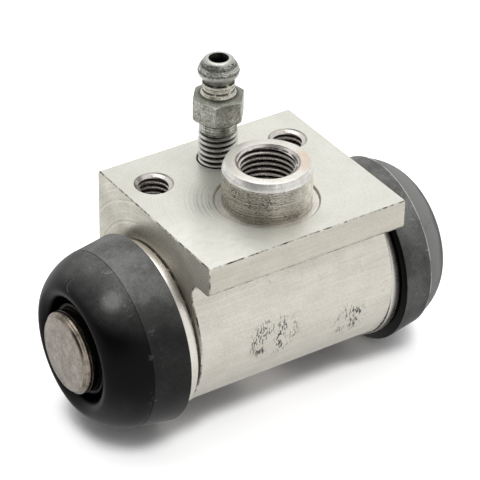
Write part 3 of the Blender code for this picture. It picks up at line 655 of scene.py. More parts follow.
# Rings of painted shade under the head, round the neck and above the hexagon.
dirty_rings(plated_neck, ((14.9, 0.30, 1.0), (14.2, 0.12, 0.4), (13.4, 0.2, 0.9)), (0.012, 0.01, 0.006))
plated_collar = metal("plated_steel_collar", (0.76, 0.76, 0.70), (0.09, 0.09, 0.08), 0.32,
                      0.4, BLEEDER_AXIS, per_mm=2.5, weights=(0.4, 0.1, 0.0, 0.5), cloud_size=1.5)
# Rings of painted shade under the hexagon and where the thread starts.
dirty_rings(plated_collar, ((8.1, 0.35, 0.9), (5.45, 0.2, 0.9)), (0.02, 0.017, 0.01))
plated_flat = metal("plated_steel_flats", (0.62, 0.62, 0.56), (0.20, 0.205, 0.18), 0.34, 0.3,
                    BLEEDER_AXIS, per_mm=1.0, weights=(0.0, 0.35, 0.0, 0.65), cloud_size=0.8)
scratched(plated_flat, 0.8, (0.12, 0.12, 0.10))
plated_slope = metal("plated_steel_slopes", (0.44, 0.445, 0.39), (0.20, 0.205, 0.17), 0.34,
                     0.3, BLEEDER_AXIS, weights=(0.35, 0.3, 0.0, 0.35), cloud_size=1.5)
# Painted shade on the hexagon's slopes, darkest next to the neck.
dirty_roots(plated_slope, 4.1, 2.9, (0.05, 0.052, 0.03), 20.0)
plated_thread = metal("plated_steel_thread", (0.72, 0.72, 0.68), (0.45, 0.45, 0.42), 0.3,
                      0.2, BLEEDER_AXIS)
# Painted shade in the thread's roots.
dirty_roots(plated_thread, 3.14, 2.86, (0.012, 0.012, 0.01), 20.0)
plated_edge = metal("plated_steel_edges", (0.64, 0.64, 0.60), (0.38, 0.38, 0.35), 0.36, 0.1,
                    BLEEDER_AXIS)
# The passage's walls are near black: painted shade inside the narrow hole.
black_inside = metal("passage_painted_shade", (0.03, 0.03, 0.028), (0.012, 0.012, 0.011), 0.5, 0.1,
                     BLEEDER_AXIS)
stud_steel = metal("turned_steel", (0.50, 0.43, 0.35), (0.03, 0.024, 0.018), 0.26, 0.3,
                   BORE_AXIS, per_mm=2.2, weights=(0.55, 0.3, 0.0, 0.15), cloud_size=2.5)
pickled_steel = metal("pickled_steel", (0.44, 0.40, 0.355), (0.27, 0.24, 0.21), 0.45, 0.15,
                      BORE_AXIS, weights=(0.05, 0.5, 0.0, 0.45), cloud_size=1.2)
spring_wire = metal("spring_wire", (0.55, 0.56, 0.58), (0.38, 0.39, 0.41), 0.3, 0.2)
print("steel finishes:", [m.name for m in (plated, stud_steel, pickled_steel, spring_wire)])

# %% [markdown]
# ## Rubber
# Moulded rubber is black with a soft sheen. Handling leaves a grey dust, which sits in clouds and
# fine scuffs. Dust could be a second layer of particles, but a mask that lightens the colour and
# roughens the surface looks the same at this distance. The same mask also stands for painted sheen
# where it lightens what faces up, the right boot's front and a few patches. A painted highlight
# runs along the right boot's ridge.

# %% Rubber finishes
DUST_COLOR = (0.22, 0.22, 0.215)
WORN_COLOR = (0.62, 0.61, 0.57)


def rubber(name, side, ridge, dusts, scuffs=0.0, patches=(), rim=0.0, cloudiness=0.5,
           color=(0.0022, 0.0022, 0.0022)):
    """Black rubber, dusty grey with painted sheen where the arguments say so.

    side is -1 or 1 for the end of the bore, and ridge is the ridge's distance out, in millimetres.
    The three levels are the strengths on the band behind the ridge, which is dusty, and on what
    faces up and on the front but not on what faces out, which is dusty with painted sheen. scuffs
    are light marks beside the ridge. patches lighten the rubber round points, dusty with painted
    sheen, each with its reach in millimetres and its strength. rim is the strength of a painted
    highlight line along the ridge, and cloudiness is how dusty it is between the clouds.
    """
    band_dust, top_dust, front_dust = dusts
    material, tree, shader, where = new_finish(name, BORE_AXIS)[:4]
    grain = noise(tree, where, 2200.0, 3.0)
    out = math_node(tree, "ABSOLUTE", add(tree, "ShaderNodeSeparateXYZ", {"Vector": where}).outputs["X"])
    off_ridge = off_by(tree, out, ridge * MM)
    on_band = ranged(tree, out, (ridge + 0.06) * MM, (ridge - 0.06) * MM)
    normal = add(tree, "ShaderNodeNewGeometry").outputs["Normal"]
    facing = add(tree, "ShaderNodeSeparateXYZ", {"Vector": normal}).outputs
    outwards = times(tree, facing["X"], float(side))
    on_top = ranged(tree, on_band, 0.0, 1.0, top_dust * 0.7, top_dust)
    dust = times(tree, ranged(tree, facing["Z"], 0.45, 1.0), on_top)
    dust = math_node(tree, "MULTIPLY_ADD", on_band, band_dust, dust)
    on_front = ranged(tree, outwards, 0.45, 0.8, front_dust, front_dust * 0.06)
    on_front = times(tree, math_node(tree, "SUBTRACT", 1.0, on_band), on_front)
    dust = math_node(tree, "ADD", dust, on_front)
    for middle, radius, strength in patches:
        away = distance_to(tree, where, middle)
        near = ranged(tree, away, radius * MM, radius * 0.2 * MM, 0.0, strength)
        dust = math_node(tree, "ADD", dust, near)
    dust = times(tree, dust, patchy(tree, where, 130.0, 4.0, 0.32, 0.68, cloudiness, 1.2))
    dust = times(tree, dust, ranged(tree, grain, 0.35, 0.65, 0.88, 1.12))
    specks = patchy(tree, where, 1500.0, 2.0, 0.66, 0.72, 0.0, 0.7)
    dust = math_node(tree, "MULTIPLY_ADD", dust, specks, dust)
    long_way = add(tree, "ShaderNodeMapping", {"Vector": where, "Scale": (0.45, 1.0, 1.0)})
    marks = patchy(tree, long_way.outputs["Vector"], 1500.0, 3.0, 0.59, 0.64)
    marks = times(tree, marks, patchy(tree, where, 260.0, 1.0, 0.45, 0.6))
    near_ridge = ranged(tree, off_ridge, 2.4 * MM, 0.4 * MM)
    dust = math_node(tree, "ADD", dust, times(tree, marks, times(tree, near_ridge, scuffs)))
    dust = times(tree, dust, ranged(tree, places(material).reach, 9.2 * MM, 10.4 * MM))
    dust = times(tree, dust, ranged(tree, outwards, -0.9, -0.6))
    dust = add(tree, "ShaderNodeClamp", {"Value": dust}).outputs["Result"]
    feed(shader, {
        "Base Color": mixed(tree, dust, color, DUST_COLOR), "Metallic": 0.0,
        "Roughness": ranged(tree, dust, 0.0, 0.5, 0.34, 0.58),
        "Normal": raised(tree, grain, 0.12), "Specular IOR Level": 0.1,
    })
    if rim:
        # A painted highlight line along the ridge.
        line = ranged(tree, off_ridge, 0.22 * MM, 0.08 * MM, 0.0, rim)
        worn = times(tree, line, patchy(tree, where, 500.0, 3.0, 0.3, 0.6, 0.25, 1.0))
        stained(material, worn, WORN_COLOR)
    return material


def creased(material, middle, radius, near, span):
    """A short curved crease in colour alone: a dark line of painted shade on a circle, with a painted
    highlight beside it, in millimetres.
    """
    at = places(material)
    away = distance_to(at.tree, at.own, middle)
    close = ranged(at.tree, distance_to(at.tree, at.own, near), span * MM, span * 0.6 * MM)
    for ring, width, color in ((radius, 0.18, (0.0, 0.0, 0.0)), (radius - 0.27, 0.13, (0.09, 0.09, 0.09))):
        line = ranged(at.tree, off_by(at.tree, away, ring * MM), width * MM, width * 0.4 * MM)
        stained(material, times(at.tree, line, close), color)


# Both boots get dust with painted sheen on what faces up and in their patches; the right boot's front is
# lightened as painted sheen too, and its ridge gets a painted highlight line.
left_rubber = rubber("boot_rubber_left", -1, 27.5, (0.09, 0.78, 0.0), 0.4, (
    ((-30.2, -11.6, -8.0), 2.4, 0.5), ((-23.7, -7.9, -5.0), 4.0, 0.2), ((-25.6, -14.0, -8.0), 1.4, 0.3),
    ((-31.0, -14.0, -28.0), 9.0, 0.10)))
# A crease on the left boot, painted as shade with a highlight beside it.
creased(left_rubber, (-33.2, -4.1, -8.3), 1.35, (-33.6, -2.9, -9.0), 1.7)
right_rubber = rubber("boot_rubber_right", 1, 26.8, (0.50, 0.36, 1.25), 3.0, (
    ((24.0, -13.0, -31.0), 7.0, 0.9),), rim=0.8, cloudiness=0.55)
seal_rubber = rubber("seal_rubber", 1, 27.5, (0.0, 0.0, 0.0), color=(0.02, 0.02, 0.021))
print("rubber finishes ready")

# %% [markdown]
# ## The body
# The real body is sawn from an aluminium extrusion, so every cut across it has the same outline:
# a flat top with a lip at the front, and a round barrel below. The outline could be drawn point by
# point. Here only its corners are given, the barrel is spun from one corner, and the long edges
# are bevelled after the face is extruded to its length.

# %% Extruded section
BODY_LENGTH = 37.5
LIP_FRONT = -22.15
WEB_FRONT = -17.05
LIP_UNDER = -5.6
REAR_FACE = 12.05
BARREL_CENTRE = Vector((0.0, -3.95, -18.5))
BARREL_RADIUS = 16.0
EDGE_BREAK = 0.16

bm = bmesh.new()
web_end = BARREL_CENTRE.z + math.sqrt(BARREL_RADIUS ** 2 - (WEB_FRONT - BARREL_CENTRE.y) ** 2)
start_x = -BODY_LENGTH / 2
front_corners = [(LIP_FRONT, 0.0), (LIP_FRONT, LIP_UNDER), (WEB_FRONT, LIP_UNDER), (WEB_FRONT, web_end)]
verts = [bm.verts.new((start_x * MM, y * MM, z * MM)) for y, z in front_corners]
for pair in zip(verts, verts[1:]):
    bm.edges.new(pair)
web_angle = math.acos((WEB_FRONT - BARREL_CENTRE.y) / BARREL_RADIUS)
spun_out = bmesh.ops.spin(
    bm, geom=[verts[-1]], cent=BARREL_CENTRE * MM, axis=(1, 0, 0), dvec=(0, 0, 0),
    angle=math.tau - web_angle, steps=110, use_merge=False, use_duplicate=False,
)
barrel_end = spun_out["geom_last"][0]
rear_top = bm.verts.new((start_x * MM, REAR_FACE * MM, 0.0))
bm.edges.new((barrel_end, rear_top))
bm.edges.new((rear_top, verts[0]))
section = bmesh.ops.contextual_create(bm, geom=list(bm.edges))["faces"][0]
extruded_out = bmesh.ops.extrude_face_region(bm, geom=[section])
moved = [item for item in extruded_out["geom"] if isinstance(item, bmesh.types.BMVert)]
bmesh.ops.translate(bm, vec=(BODY_LENGTH * MM, 0.0, 0.0), verts=moved)
bmesh.ops.recalc_face_normals(bm, faces=bm.faces)
print("section with", len(section.verts), "corners, extruded", BODY_LENGTH, "mm")

# %% Long edges and broken corners
def long_edges(bm, y, z):
    """The edges that run along X at one place of the section, in millimetres."""
    found = []
    for edge in bm.edges:
        first, second = edge.verts
        runs_along = abs(first.co.x - second.co.x) > BODY_LENGTH / 2 * MM
        if runs_along and (first.co.yz - Vector((y, z)) * MM).length < 0.01 * MM:
            found.append(edge)
    return found


for y, z, size in ((LIP_FRONT, LIP_UNDER, 1.2), (WEB_FRONT, LIP_UNDER, 1.8), (REAR_FACE, 0.0, 0.8)):
    bevelled(bm, long_edges(bm, y, z), size, 8)
ends = [e for e in bm.edges if abs(abs(e.verts[0].co.x) - BODY_LENGTH / 2 * MM) < 1e-6
        and abs(e.verts[0].co.x - e.verts[1].co.x) < 1e-6]
bevelled(bm, ends + long_edges(bm, LIP_FRONT, 0.0), EDGE_BREAK, 1)
body = as_object("body", bm)
print("body block:", len(body.data.polygons), "faces")

# %% [markdown]
# The lathe cuts each end down to a neck for the boot: a shoulder, a groove for the boot's bead and
# a flange. The inlet boss is milled out of the top. They are turned as solids and joined to the
# block, and the bore, the port and the threaded holes are then cut out of it.

# %% Necks and boss joined to the block
NECK = [(0.0, 25.5), (13.6, 25.5), (13.6, 23.2), (12.9, 23.2), (12.9, 20.8), (14.4, 20.8),
        (14.4, 19.0), (14.1, 18.9), (14.1, 17.7), (0.0, 17.7)]
BOSS_HEIGHT = 7.1
for side in (-1, 1):
    neck = spun(NECK, WIDE_STEPS)
    round_ring(neck, 13.6, 25.5, 0.5)
    round_ring(neck, 14.4, 20.8, 0.25)
    combined(body, as_object("neck", neck, along_bore(side)), "UNION")
boss = spun([(0.0, BOSS_HEIGHT), (6.9, BOSS_HEIGHT), (7.4, 5.9), (7.4, -2.0), (0.0, -2.0)], MIDDLE_STEPS)
round_ring(boss, 6.9, BOSS_HEIGHT, 0.12)
round_ring(boss, 7.4, 5.9, 0.2)
combined(body, as_object("boss", boss, standing(PORT_AXIS)), "UNION")
print("joined body:", len(body.data.polygons), "faces")

# %% Bore, spot face and holes cut out
SPOT = [(8.75, 1.0), (8.75, 0.0), (8.55, -0.15), (8.45, -0.4), (7.45, -0.4), (7.45, 1.0)]
BORE = [(0.0, 26.5), (10.92, 26.5), (10.92, 25.5), (10.32, 24.9), (10.32, -24.9), (10.92, -25.5),
        (10.92, -26.5), (0.0, -26.5)]
PORT = [(0.0, 8.1), (5.3, 8.1), (5.3, BOSS_HEIGHT), (5.0, 6.8), (5.0, -4.5), (1.5, -6.6),
        (1.5, -15.24), (0.0, -15.24)]
SCREW_HOLE = [(0.0, 1.0), (3.62, 1.0), (3.62, 0.0), (3.5, -0.12), (3.5, -9.0), (1.25, -11.25),
              (1.25, -20.4), (0.0, -20.4)]
MOUNT_HOLE = [(0.0, 1.0), (3.3, 1.0), (3.3, 0.0), (3.0, -0.3), (3.0, -11.0), (0.0, -12.8)]
machined(body, "spot", SPOT, MIDDLE_STEPS, standing(PORT_AXIS), "DIFFERENCE")
machined(body, "bore", BORE, WIDE_STEPS, along_bore(1), "DIFFERENCE")
machined(body, "port", PORT, MIDDLE_STEPS, standing(PORT_AXIS), "DIFFERENCE")
machined(body, "screw_hole", SCREW_HOLE, NARROW_STEPS, standing(BLEEDER_AXIS), "DIFFERENCE")
for axis in MOUNT_AXES.values():
    machined(body, "hole", MOUNT_HOLE, NARROW_STEPS, standing(axis), "DIFFERENCE")
print("cut body:", len(body.data.polygons), "faces")

# %% [markdown]
# One casting shows several finishes, because each tool leaves its own. The faces could be painted
# by hand. Their place says enough here: the top is milled, the ends are faced on the lathe, the
# boss is turned, and the holes are tapped.

# %% A finish for each face of the body
BODY_FINISHES = [extruded, milled, faced, boss_side, boss_face, tapped, port_tapped, lip_finish,
                 neck_finish, boss_chamfer, worn_edge, spot_edge]
# The radii at which one finish gives way to another, in millimetres.
NECK_FROM = 12.0
BORE_UP_TO = 10.9
BOSS_SIDE_FROM = 6.8
SPOT_FROM, SPOT_UP_TO = 7.3, 8.8
PORT_UP_TO = 5.35
HOLES_UP_TO = 3.65


def body_finish(polygon):
    """The finish for a face of the body."""
    centre, normal = polygon.center, polygon.normal
    from_port = (centre.xy - PORT_AXIS.xy).length / MM
    from_bore = (centre.yz - BORE_AXIS.yz).length / MM
    from_holes = min((centre.xy - axis.xy).length for axis in (*MOUNT_AXES.values(), BLEEDER_AXIS)) / MM
    across, height = centre.y / MM, centre.z / MM
    past_end = abs(centre.x) / MM - BODY_LENGTH / 2
    if abs(height) < 0.01 and normal.z > 0.9:
        return milled
    if past_end > 0.03:
        return neck_finish if from_bore > NECK_FROM else faced
    if past_end > -0.01 and abs(normal.x) > 0.9:
        return faced
    on_block_edge = past_end > -EDGE_BREAK - 0.01 or across < LIP_FRONT + EDGE_BREAK + 0.01
    if on_block_edge and from_bore > NECK_FROM and max(abs(part) for part in normal) < 0.9:
        return worn_edge
    if height > 0.02 and from_port > BOSS_SIDE_FROM:
        return boss_side if abs(normal.z) < 0.05 else boss_chamfer
    if SPOT_FROM < from_port < SPOT_UP_TO and abs(height) < 0.5:
        return boss_face if normal.z > 0.9 else spot_edge
    if height > BOSS_HEIGHT - 0.2 and from_port > 5.3:
        return boss_face
    if from_port < PORT_UP_TO:
        return port_tapped
    if from_holes < HOLES_UP_TO:
        return tapped
    if from_bore < BORE_UP_TO:
        return faced
    # The lip's front takes the darker copy of the extruded finish, a painted shade.
    if across < LIP_FRONT + 1.0 and height > LIP_UNDER - 0.4:
        return lip_finish
    return extruded


painted(body, BODY_FINISHES, body_finish)
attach(body, "housing")
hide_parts("cylinder_body")
print("finished body:", len(body.data.polygons), "faces")

# %% [markdown]
# ## Threads in the body
# A tapped hole has a ridge that winds down its wall. A bump map would give lines but no shadow in
# the mouth, so the ridge is real: a small section is wound up the axis, and its crest is cut back
# where the mouth is countersunk.

# %% Inner threads
def inner_thread(name, axis, major, minor, bottom, top, mouth, start_turn, finish):
    """A ridge inside a hole, cut back by a 45 degree countersink of radius mouth at the top."""
    base, wide, narrow = major + 0.04, THREAD_PITCH * 0.43, THREAD_PITCH * 0.11
    section = [(base, -wide), (minor, -narrow), (minor, narrow), (base, wide)]
    bm = wound(section, (top - bottom) / THREAD_PITCH, bottom)
    for vert in bm.verts:
        reach = math.hypot(vert.co.x, vert.co.y) / MM
        cone = mouth - (top - vert.co.z / MM)
        vert.co.xy *= min(max(reach, cone), base) / reach
    turn = Matrix.Rotation(math.radians(start_turn), 4, "Z")
    ridge = as_object(name, bm, standing(axis) @ turn)
    ridge.data.materials.append(finish)
    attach(ridge, "housing")
    return ridge


port_thread = inner_thread("port_thread", PORT_AXIS, 5.0, 4.46, -4.3, 7.0, 4.9, 40.0, port_tapped)
for word, axis in MOUNT_AXES.items():
    hole_tapped = metal("tapped_hole_" + word, (0.84, 0.80, 0.76), (0.56, 0.51, 0.47), 0.28, 0.3,
                        axis, per_mm=4.0, weights=(0.4, 0.2, 0.0, 0.4), shine=0.8)
    # Painted shade in the thread's roots.
    dirty_roots(hole_tapped, 2.56, 2.8, (0.035, 0.025, 0.02), -0.8)
    inner_thread("mount_thread_" + word, axis, 3.0, 2.46, -10.6, -0.1, 2.8, 10.0, hole_tapped)
print("port thread:", len(port_thread.data.polygons), "faces")

# %% [markdown]
# ## The bleed screw
# It is turned from a bar and milled to a hexagon. The hexagon starts as a six-sided cone with equal
# ends, its corners are kept inside a turned shape that slopes them, and the turned parts are then
# joined to it. The passage through it is drilled last.

# %% Hexagon with sloped corners
HEX_ACROSS_FLATS = 8.0
HEX_BOTTOM = 8.2
HEX_TOP = 12.8
corner_reach = HEX_ACROSS_FLATS / 2 / math.cos(math.radians(30.0))
bm = bmesh.new()
middle = Matrix.Translation((0.0, 0.0, (HEX_TOP + HEX_BOTTOM) / 2 * MM))
bmesh.ops.create_cone(
    bm, cap_ends=True, segments=6, radius1=corner_reach * MM, radius2=corner_reach * MM,
    depth=(HEX_TOP - HEX_BOTTOM) * MM, matrix=middle @ Matrix.Rotation(math.radians(-38.3), 4, "Z"),
)
upright = [e for e in bm.edges if abs(e.verts[0].co.z - e.verts[1].co.z) > 1.0 * MM]
bevelled(bm, upright, 0.16, 3)
screw = as_object("bleed_screw", bm, standing(BLEEDER_AXIS))
SLOPES = [(0.0, 13.9), (1.2, 13.9), (1.2, 13.44), (2.67, HEX_TOP), (5.2, 11.62), (5.2, 9.1),
          (4.0, 7.9), (0.0, 7.9)]
machined(screw, "slopes", SLOPES, NARROW_STEPS, standing(BLEEDER_AXIS), "INTERSECT")
print("hexagon:", len(screw.data.polygons), "faces")

# %% Turned parts of the screw, and its passage
SPINDLE = [
    (0.0, 18.95), (2.0, 18.95), (2.32, 18.83), (2.55, 18.6), (3.12, 17.68), (3.36, 17.2), (3.45, 16.8),
    (3.4, 16.4), (3.24, 16.05), (2.95, 15.7), (2.7, 15.4), (2.58, 15.15), (2.5, 15.0), (2.5, 14.85),
    (2.62, 14.75), (2.68, 14.6), (2.66, 14.2), (2.7, 14.15), (2.7, 13.75), (2.6, 13.65), (2.6, 13.45),
    (2.7, 13.35), (2.74, 13.05), (2.95, 12.7), (2.9, 11.0), (3.05, 9.0), (3.13, 8.1), (3.13, 5.75),
    (3.0, 5.6), (2.78, 5.3), (2.78, -8.6), (1.6, -10.7), (0.0, -10.7),
]
PASSAGE = [(0.0, 20.1), (1.72, 20.1), (1.72, 19.02), (1.5, 18.7), (1.25, 18.2), (1.2, 17.0),
           (1.2, -7.0), (0.0, -7.6)]
CROSS = [(0.0, 4.0), (0.8, 4.0), (0.8, -4.0), (0.0, -4.0)]
CROSS_HEIGHT = -6.2
lying = standing(BLEEDER_AXIS + Vector((0, 0, CROSS_HEIGHT)) * MM) @ Matrix.Rotation(math.pi / 2, 4, "Y")
machined(screw, "spindle", SPINDLE, NARROW_STEPS, standing(BLEEDER_AXIS), "UNION")
machined(screw, "passage", PASSAGE, 64, standing(BLEEDER_AXIS), "DIFFERENCE")
machined(screw, "cross", CROSS, 32, lying, "DIFFERENCE")
print("turned screw:", len(screw.data.polygons), "faces")

# %% A finish for each face of the screw
SCREW_FINISHES = [plated, plated_flat, plated_thread, black_inside, plated_slope, plated_collar,
                  plated_edge, plated_neck]
THREAD_TOP = 5.3
COLLAR_TOP = 8.4
NECK_TOP = 15.2
SMALL_AREA = 1.0


def screw_finish(polygon):
    """The finish for a face of the screw."""
    reach = (polygon.center.xy - BLEEDER_AXIS.xy).length / MM
    height = polygon.center.z / MM
    # Inside the passage: painted shade.
    if reach < 1.72 and 19.0 > height > -10.0 and polygon.normal.z < 0.9:
        return black_inside
    if HEX_BOTTOM - 0.1 < height < HEX_TOP + 0.3 and reach > 2.9:
        if abs(polygon.normal.z) >= 0.1:
            return plated_slope
        return plated_edge if polygon.area < SMALL_AREA * MM * MM else plated_flat
    if height < COLLAR_TOP:
        return plated_collar if height > THREAD_TOP else plated_thread
    if height < NECK_TOP:
        return plated_neck
    return plated_edge if 16.0 < height < 17.0 or height > 18.7 else plated


painted(screw, SCREW_FINISHES, screw_finish)
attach(screw, "bleeder")
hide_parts("bleeder_screw")
print("bleed screw:", len(screw.data.materials), "finishes")

# %% Outer thread of the screw
CREST, ROOT = 3.28, 2.72
bm = wound([(ROOT, -0.42), (CREST, -0.08), (CREST, 0.08), (ROOT, 0.42)], 14.2, -8.5)
for vert in bm.verts:
    reach = math.hypot(vert.co.x, vert.co.y) / MM
    limit = CREST if vert.co.z / MM < THREAD_TOP else CREST - (vert.co.z / MM - THREAD_TOP) * 1.5
    vert.co.xy *= max(min(reach, limit), 2.7) / reach
turn = Matrix.Rotation(math.radians(20.0), 4, "Z")
screw_thread = as_object("bleed_screw_thread", bm, standing(BLEEDER_AXIS) @ turn)
screw_thread.data.materials.append(plated_thread)
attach(screw_thread, "bleeder")
print("outer thread:", len(screw_thread.data.polygons), "faces")

# %% [markdown]
# ## Pistons
# Each piston is one turned piece: a stud that pushes the brake shoe, a groove that holds the boot,
# a skirt that fits the bore, and a groove for the seal. Only the stud is seen, so its chamfer and
# fine tool lines matter most.

# %% Pistons
STUD_END = 35.5
SKIRT_RADIUS, SKIRT_OUTER_END = 10.12, 24.3
INNER_RADIUS, INNER_END = 9.2, 6.6
PISTON = [
    (0.0, STUD_END), (6.25, STUD_END), (6.38, 35.43), (6.62, 35.18), (6.66, 35.02), (6.94, 34.86),
    (7.0, 34.72), (7.0, 34.3), (6.93, 34.24), (6.93, 34.14), (7.0, 34.08), (7.0, 30.2), (5.4, 30.2),
    (5.4, 27.4), (7.0, 27.4), (7.0, SKIRT_OUTER_END), (SKIRT_RADIUS, SKIRT_OUTER_END),
    (SKIRT_RADIUS, 11.3), (7.0, 11.3), (7.0, 8.0), (INNER_RADIUS, 8.0), (INNER_RADIUS, INNER_END),
    (5.4, INNER_END), (5.4, 12.6), (0.0, 12.6),
]
for word, side, inset in ENDS:
    bm = spun([(radius, height - inset) for radius, height in PISTON], MIDDLE_STEPS)
    round_ring(bm, SKIRT_RADIUS, SKIRT_OUTER_END - inset, 0.5)
    round_ring(bm, INNER_RADIUS, INNER_END - inset, 0.3)
    piston = as_object("piston_" + word + "_turned", bm, along_bore(side))
    piston.data.materials.append(stud_steel)
    piston.data.materials.append(pickled_steel)
    end = (STUD_END - inset - 0.02) * MM
    for polygon in piston.data.polygons:
        polygon.material_index = 1 if abs(polygon.center.x) > end else 0
    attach(piston, word + "_piston")
    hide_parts("piston_" + word)
    print(piston.name, len(piston.data.polygons), "faces")

# %% [markdown]
# ## Seals and return spring
# They are hidden in the bore, and are finished plainly. The seal is a turned ring with a notch that
# the fluid spreads. The spring is a round wire, wound in two halves from the middle outwards.

# %% Seals
SEAL = [(9.82, 11.0), (10.02, 8.3), (9.32, 8.3), (8.66, 9.6), (8.0, 8.3), (7.3, 8.3), (7.3, 11.0)]
for word, side, inset in ENDS:
    bm = spun([(radius, height - inset) for radius, height in SEAL], NARROW_STEPS)
    round_ring(bm, 9.82, 11.0 - inset, 0.25, 3)
    round_ring(bm, 8.66, 9.6 - inset, 0.25, 3)
    seal = as_object("seal_" + word + "_ring", bm, along_bore(side))
    seal.data.materials.append(seal_rubber)
    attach(seal, word + "_piston")
    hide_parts("seal_" + word)
    print(seal.name, len(seal.data.polygons), "faces")

# %% Return spring
WIRE_RADIUS = 0.45
COIL_RADIUS = 4.65
SPRING_SPAN = {"left": 11.85, "right": 10.05}


def spring_half(word, side):
    """Three and a half turns from the middle outwards, the last of them nearly closed."""
    bm = bmesh.new()
    bmesh.ops.create_circle(bm, cap_ends=True, segments=12, radius=WIRE_RADIUS * MM)
    stand = Matrix.Translation((COIL_RADIUS * MM, 0.0, 0.0)) @ Matrix.Rotation(math.pi / 2, 4, "X")
    bmesh.ops.transform(bm, matrix=stand, verts=bm.verts)
    closed_rise = 2 * WIRE_RADIUS + 0.3
    active_rise = SPRING_SPAN[word] - closed_rise
    face = list(bm.faces)
    for turns, rise in ((2.5, active_rise), (1.0, closed_rise)):
        steps = int(turns * 40)
        rim = {e for f in face for e in f.edges} | {v for f in face for v in f.verts}
        last = swept(bm, face + list(rim), math.tau * turns, steps, rise / steps * MM)
        face = [item for item in last if isinstance(item, bmesh.types.BMFace)]
    bmesh.ops.recalc_face_normals(bm, faces=bm.faces)
    half = as_object("return_spring_" + word, bm, along_bore(side), 60.0)
    half.data.materials.append(spring_wire)
    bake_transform(half)
    return half


halves = [spring_half("left", -1), spring_half("right", 1)]
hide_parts("return_spring")
print("spring halves:", [len(half.data.polygons) for half in halves])

# %% [markdown]
# ## Dust boots
# A boot is moulded as one ring: a bead grips the body's neck, a cone widens to a ridge, the front
# rolls over, and a collar hugs the stud inside a narrow trough. The section is drawn once with
# rounded rolls and spun.

# %% Boot section
def rolled(start, end, exponent, segments):
    """Points from (radius, distance) start to end, bulging outwards like a rounded corner."""
    points = []
    for i in range(segments + 1):
        angle = math.pi / 2 * i / segments
        along = math.sin(angle) ** (2.0 / exponent)
        across = 1.0 - max(math.cos(angle), 0.0) ** (2.0 / exponent)
        points.append((start[0] + (end[0] - start[0]) * across, start[1] + (end[1] - start[1]) * along))
    return points


FOLD_AND_COLLAR = [
    (10.3, 29.15), (8.85, 27.7), (5.7, 27.7), (5.7, 29.9), (7.02, 29.9), (7.02, 32.3), (7.12, 32.6),
    (7.4, 32.7), (7.68, 32.55), (7.8, 32.2), (7.85, 30.9), (7.95, 30.4), (8.2, 30.2), (8.5, 30.3),
    (8.75, 30.7), (8.85, 31.4),
]


def boot_section(inset, step):
    """The boot's outline, from the opening's edge outwards over the front to the rear and back.

    step is how far the front starts inside the ridge, in millimetres.
    """
    front, ridge = 34.1 - inset, 27.5 - inset * 0.4
    crest = (10.6, front)
    shell = rolled((8.85, front - 1.6), crest, 2.0, 8)
    shell += rolled((15.13 - step, ridge + 0.12), crest, 1.5, 20)[-2::-1]
    shell += [(15.13 - step * 0.2, ridge + 0.1), (15.13, ridge + 0.02), (15.12, ridge - 0.12)]
    shell += [(16.0, 21.4), (15.95, 21.2), (15.8, 21.1)]
    seat = [(13.2, 21.1), (13.2, 22.9), (13.9, 22.9), (13.9, 25.8)]
    inside = rolled((13.6, ridge), (10.3, front - 1.45), 1.5, 8)
    return shell + seat + inside + [(radius, height - inset) for radius, height in FOLD_AND_COLLAR]


print("boot section has", len(boot_section(0.0, 0.3)), "points")

# %% Boots
BOOT_FINISH = {"left": left_rubber, "right": right_rubber}
RIDGE_STEP = {"left": 0.08, "right": 0.45}
for word, side, inset in ENDS:
    bm = spun(boot_section(inset, RIDGE_STEP[word]), MIDDLE_STEPS)
    boot = as_object("dust_boot_" + word + "_moulded", bm, along_bore(side), 38.0)
    boot.data.materials.append(BOOT_FINISH[word])
    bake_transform(boot)
    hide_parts("dust_boot_" + word)
    print(boot.name, len(boot.data.polygons), "faces")

# %% [markdown]
# ## Floor and light
# The part lies on its boots on white paper, which is pure white but for a dark shadow close to the
# part. Strong lamps could burn the paper out, but they would light the part too. Here the paper
# glows for the camera, and less so where the part covers it. In what mirrors it, the paper is
# darker and glows a little, evenly.

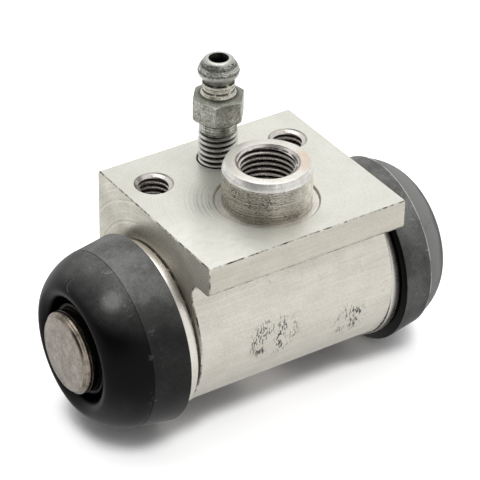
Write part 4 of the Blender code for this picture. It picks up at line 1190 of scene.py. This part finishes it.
# %% Floor
SHADOW_REACH = 7.2
bm = bmesh.new()
bmesh.ops.create_grid(bm, x_segments=1, y_segments=1, size=1.5)
floor = as_object("floor", bm, Matrix.Translation((0.0, 0.0, FLOOR_HEIGHT)))
paper = bpy.data.materials.new("white_paper")
paper.use_nodes = True
sheet = paper.node_tree
rays = add(sheet, "ShaderNodeLightPath").outputs
mirrored = math_node(sheet, "MAXIMUM", rays["Is Glossy Ray"], rays["Is Transmission Ray"])
open_share = add(sheet, "ShaderNodeAmbientOcclusion", {"Distance": SHADOW_REACH * MM}, samples=16)
glow = times(sheet, rays["Is Camera Ray"], ranged(sheet, open_share.outputs["AO"], 0.36, 0.64, 0.0, 0.6))
white = math_node(sheet, "MULTIPLY_ADD", mirrored, -0.35, 0.85)
paper_color = add(sheet, "ShaderNodeCombineColor", {"Red": white, "Green": white, "Blue": white})
feed(sheet.nodes["Principled BSDF"], {
    "Base Color": paper_color.outputs["Color"], "Roughness": 0.9, "Specular IOR Level": 0.1,
    "Emission Color": (1.0, 1.0, 1.0, 1.0),
    "Emission Strength": math_node(sheet, "MULTIPLY_ADD", mirrored, 0.45, glow),
})
floor.data.materials.append(paper)
print("floor at %.2f mm" % (FLOOR_HEIGHT / MM))

# %% [markdown]
# Bright metal looks like what it mirrors, so white all round leaves it flat. A photographer sets
# a dark board on one side. Here the world is white, with one side of it dark in the same way, and a
# large weak lamp overhead adds a soft shade. The camera sees white behind the part.

# %% Lamp and world
LAMP_AIM = Vector((0.0, -0.005, -0.015))
LAMP_SIDE = Vector((0.15, 0.25, 1.0)).normalized()
LAMP_DISTANCE = 0.9
DARK_SIDE = (-0.72, -0.35, 0.60)
lamp_data = bpy.data.lights.new("overhead_lamp", "AREA")
lamp_data.shape = "SQUARE"
lamp_data.size = 0.7
lamp_data.energy = 2.6
lamp = bpy.data.objects.new("overhead_lamp", lamp_data)
bpy.context.scene.collection.objects.link(lamp)
lamp.location = LAMP_AIM + LAMP_SIDE * LAMP_DISTANCE
lamp.rotation_mode = "QUATERNION"
lamp.rotation_quaternion = LAMP_SIDE.to_track_quat("Z", "Y")
world = bpy.data.worlds.new("studio")
bpy.context.scene.world = world
world.use_nodes = True
sky = world.node_tree
toward = add(sky, "ShaderNodeTexCoord").outputs["Generated"]
to_dark = add(sky, "ShaderNodeVectorMath", {0: toward, 1: DARK_SIDE}, operation="DOT_PRODUCT")
strength = ranged(sky, to_dark.outputs["Value"], 0.70, 0.92, 0.92, 0.06)
to_camera = add(sky, "ShaderNodeLightPath").outputs["Is Camera Ray"]
feed(sky.nodes["Background"], {
    "Color": (1.0, 1.0, 1.0, 1.0), "Strength": math_node(sky, "MAXIMUM", strength, to_camera),
})
bpy.context.scene.view_settings.view_transform = "Standard"
print("lit by", len(bpy.data.lights), "lamp and the world")
